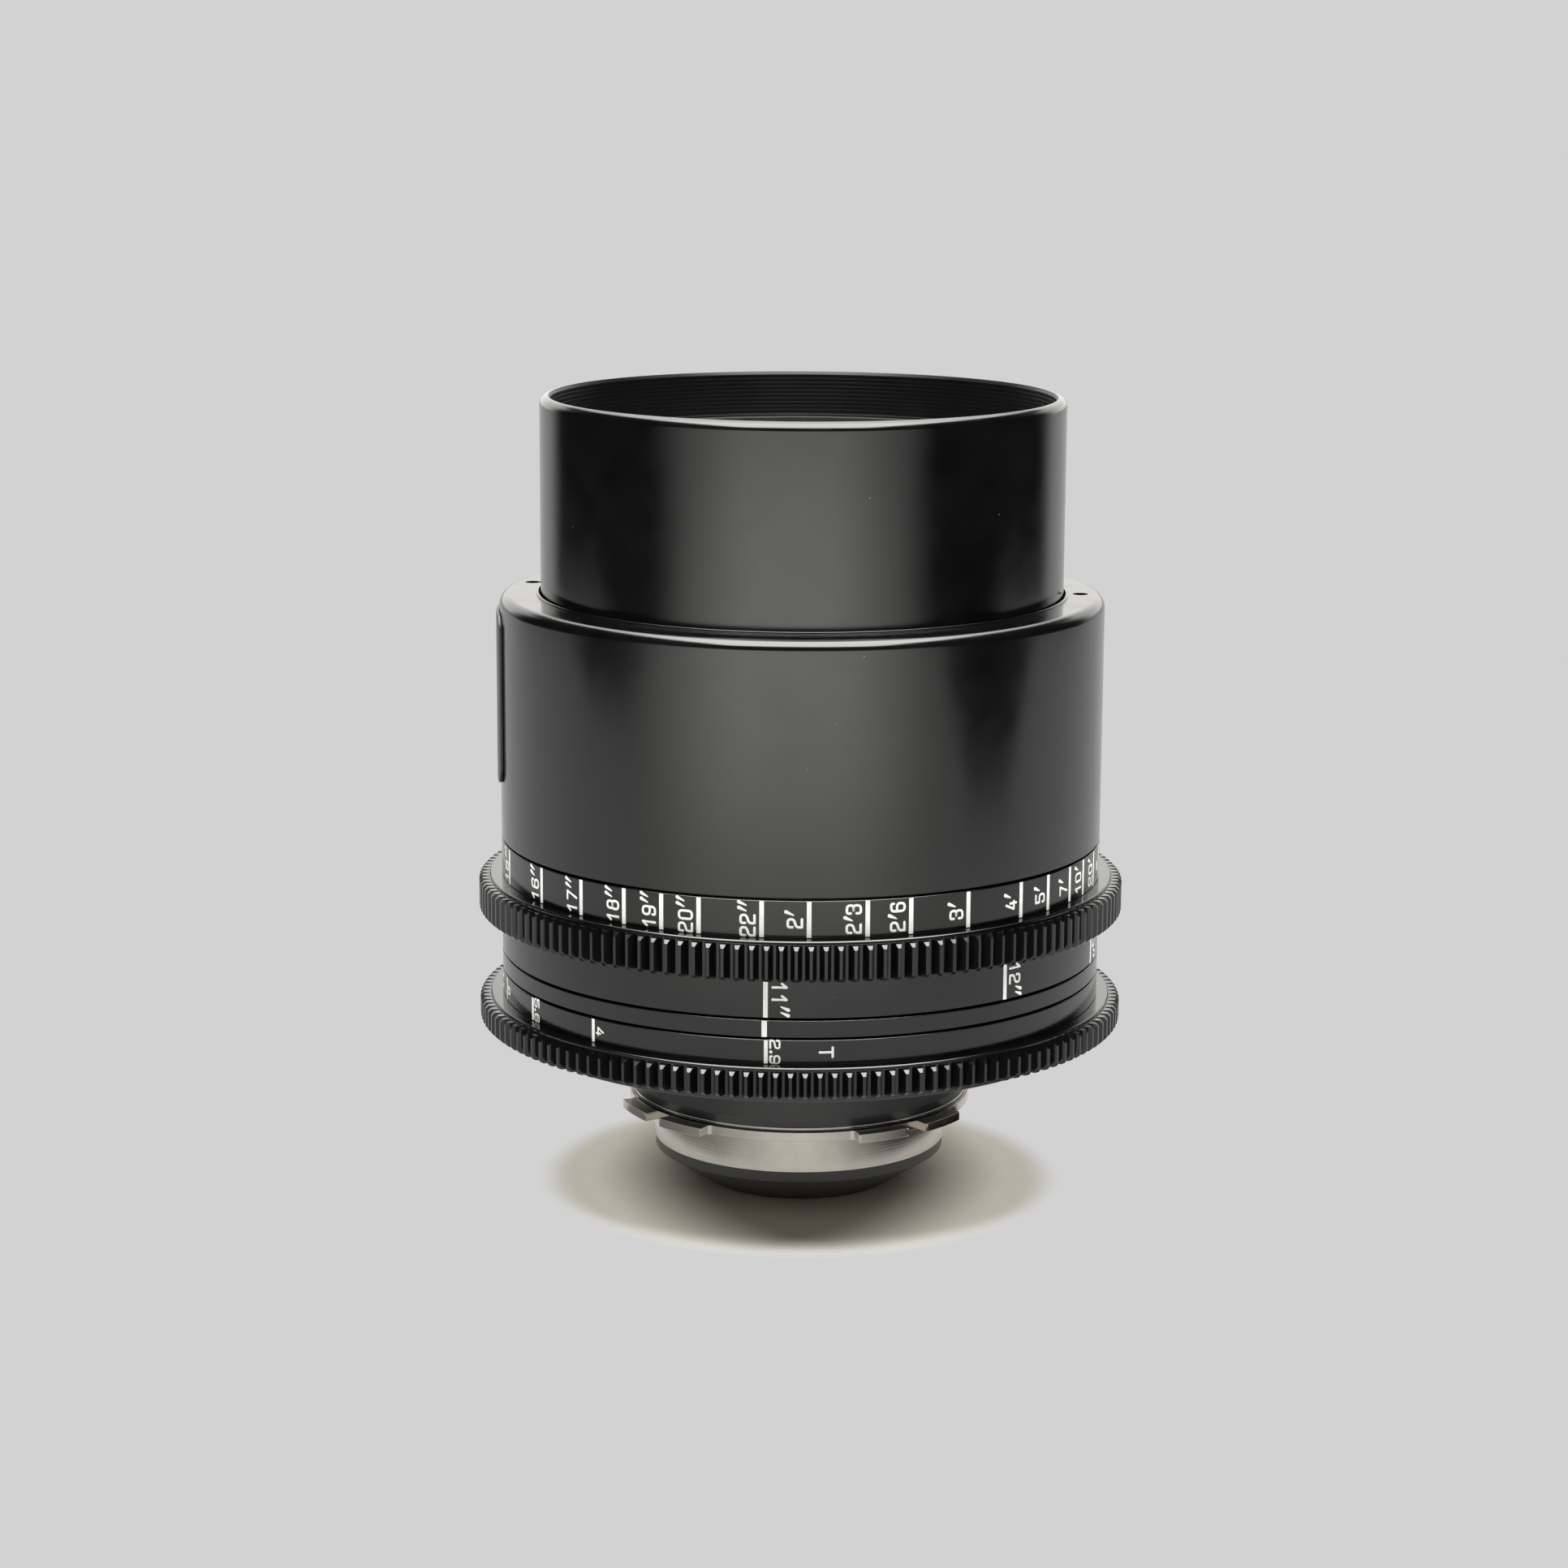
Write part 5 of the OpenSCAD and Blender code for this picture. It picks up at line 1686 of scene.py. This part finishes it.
    def card(self, name: str, columns: int, rows: int, shape: Callable[[float, float], tuple]) -> None:
        """Adds a screen that only reflections see.

        Args:
            name: Name of the screen.
            columns: Faces across.
            rows: Faces along.
            shape: Gives the place, glow and cover of a point from its shares across and along.
        """
        deselect()
        bpy.ops.mesh.primitive_grid_add(x_subdivisions=columns, y_subdivisions=rows, size=1)
        card = bpy.context.object
        card.name = name
        for key in ("glow", "cover"):
            card.data.attributes.new(key, "FLOAT", "POINT")
        glow, cover = (card.data.attributes[key] for key in ("glow", "cover"))
        for i, vertex in enumerate(card.data.vertices):
            place, glow.data[i].value, cover.data[i].value = shape(vertex.co.x + 0.5, vertex.co.y + 0.5)
            vertex.co = place
        card.data.materials.append(self.screen)
        card.visible_camera = False
        card.visible_diffuse = False
        card.visible_shadow = False
        card.visible_transmission = False

    def front_shape(self, u: float, v: float) -> tuple:
        """Shapes the bright ground in front of the lens, a fan that fades at its sides and near end.

        Args:
            u: Share across.
            v: Share along.

        Returns:
            Place, glow and cover.
        """
        distance = self.front_start + (self.front_end - self.front_start) * v * v
        bend = self.ease((distance - self.front_bend) / self.front_bend)
        spread = self.front_fan * (1 - self.front_narrowing * bend)
        x, y = on_ring(distance / MM, self.heading + self.front_turn + spread * (2 * u - 1))
        first = self.ease((distance - self.front_start) / self.front_near)
        near = self.ease((distance - self.front_first) / (self.front_full - self.front_first))
        side = self.ease(u / self.front_side) * self.ease((1 - u) / self.front_side)
        far = 1.0 - self.front_loss * self.ease((distance - self.front_far) / self.front_bend)
        rise = (self.front_base - self.grey) * first + (self.front_glow * far - self.front_base) * near
        return (x, y, CAD_BOX[0].z + 0.002), self.grey + rise * side, 1.0

    def near_shape(self, u: float, v: float) -> tuple:
        """Shapes a glowing sheet on the ground close to the mount, with painted shade on its left and more on its
        right.

        Args:
            u: Share across.
            v: Share along.

        Returns:
            Place, glow and cover.
        """
        angle = self.near_fan * (2 * u - 1)
        x, y = on_ring((self.near_start + (self.near_end - self.near_start) * v) / MM, self.heading + angle)
        # painted shade: the glow drops towards the sides, standing in for the floor's shadow seen in reflections
        shade = self.near_left_painted_shade if angle < 0 else self.near_right_painted_shade
        glow = self.near_glow * (1 - shade * self.ease(abs(angle) / self.near_fade))
        return (x, y, CAD_BOX[0].z + 0.001), glow, self.ease((1 - v) / self.near_edge)

    def top_shape(self, u: float, v: float) -> tuple:
        """Shapes the light box above the lens, brightest over and before it and weaker behind it.

        Args:
            u: Share across.
            v: Share along.

        Returns:
            Place, glow and cover.
        """
        across, along = (2 * u - 1) * self.top_width, self.top_start + self.top_length * v
        turn = math.radians(self.heading)
        x = across * math.cos(turn) - along * math.sin(turn)
        y = across * math.sin(turn) + along * math.cos(turn)
        glow = self.top_glow / (1 + self.top_loss * max(0.0, along))
        cover = self.ease((1 - abs(2 * u - 1)) / self.top_side) * self.ease(v / self.top_edge)
        return (x, y, self.top_height), glow, cover

    def back_shape(self, u: float, v: float) -> tuple:
        """Shapes the pale wall behind the lens, that the flat tops reflect.

        Args:
            u: Share across.
            v: Share along.

        Returns:
            Place, glow and cover.
        """
        x, y = on_ring(self.back_distance / MM, self.heading + self.back_start + self.back_fan * u)
        cover = self.ease(v / self.back_edge) * self.ease(u / self.back_side) * self.ease((1 - u) / self.back_side)
        return (x, y, CAD_BOX[0].z + self.back_low + self.back_height * v), self.back_glow, cover

    def flag_shape(self, angle: float, v: float, edges: tuple, tongue: float, low: float) -> tuple:
        """Shapes a dark curved screen beside the lens, that hangs above the floor.

        Args:
            angle: Angle of the point from the camera.
            v: Share of the height.
            edges: Angles where the front edge starts and is full, and where the rear edge is full and ends.
            tongue: Angle where it reaches lowest.
            low: Height of that place above the floor in metres.

        Returns:
            Place, glow and cover.
        """
        foot = low + (self.flag_foot - low) * self.ease((abs(angle - tongue) - self.flag_tongue) / self.flag_slope)
        x, y = on_ring(self.flag_distance / MM, self.heading + angle)
        first, full, last, end = edges
        cover = self.ease((angle - first) / (full - first)) * self.ease((angle - end) / (last - end))
        return (x, y, CAD_BOX[0].z + foot + v * (self.flag_height - foot)), self.flag_glow, cover

    def ease(self, share: float) -> float:
        """Gives a soft step from 0 to 1."""
        share = max(0.0, min(1.0, share))
        return share * share * (3 - 2 * share)

    def camera(self) -> None:
        """Adds the camera at the photograph's viewing angle."""
        data = bpy.data.cameras.new("photo_camera")
        data.sensor_width = 36.0
        data.lens = self.lens
        data.clip_start = 0.01
        camera = bpy.data.objects.new("photo_camera", data)
        bpy.context.scene.collection.objects.link(camera)
        turn = Matrix.Rotation(math.radians(self.heading), 4, "Z")
        turn = turn @ Matrix.Rotation(math.radians(90 - self.pitch), 4, "X")
        turn = turn @ Matrix.Rotation(math.radians(self.roll), 4, "Z")
        camera.matrix_world = Matrix.Translation([c * MM for c in self.place]) @ turn
        bpy.context.scene.camera = camera
        bpy.context.scene.view_settings.view_transform = "Standard"


def main() -> None:
    """Builds the lens in order, then the studio."""
    finishes = FinishSet()
    for assembly in (RearEnd(), CoreBarrel(), IrisRing(), FocusRing(), OuterBody(), FrontBarrel(), ScaleMarks(),
                     InnerWorks()):
        assembly.build(finishes)
    Studio().build()
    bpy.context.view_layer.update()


if __name__ == "__main__":
    main()
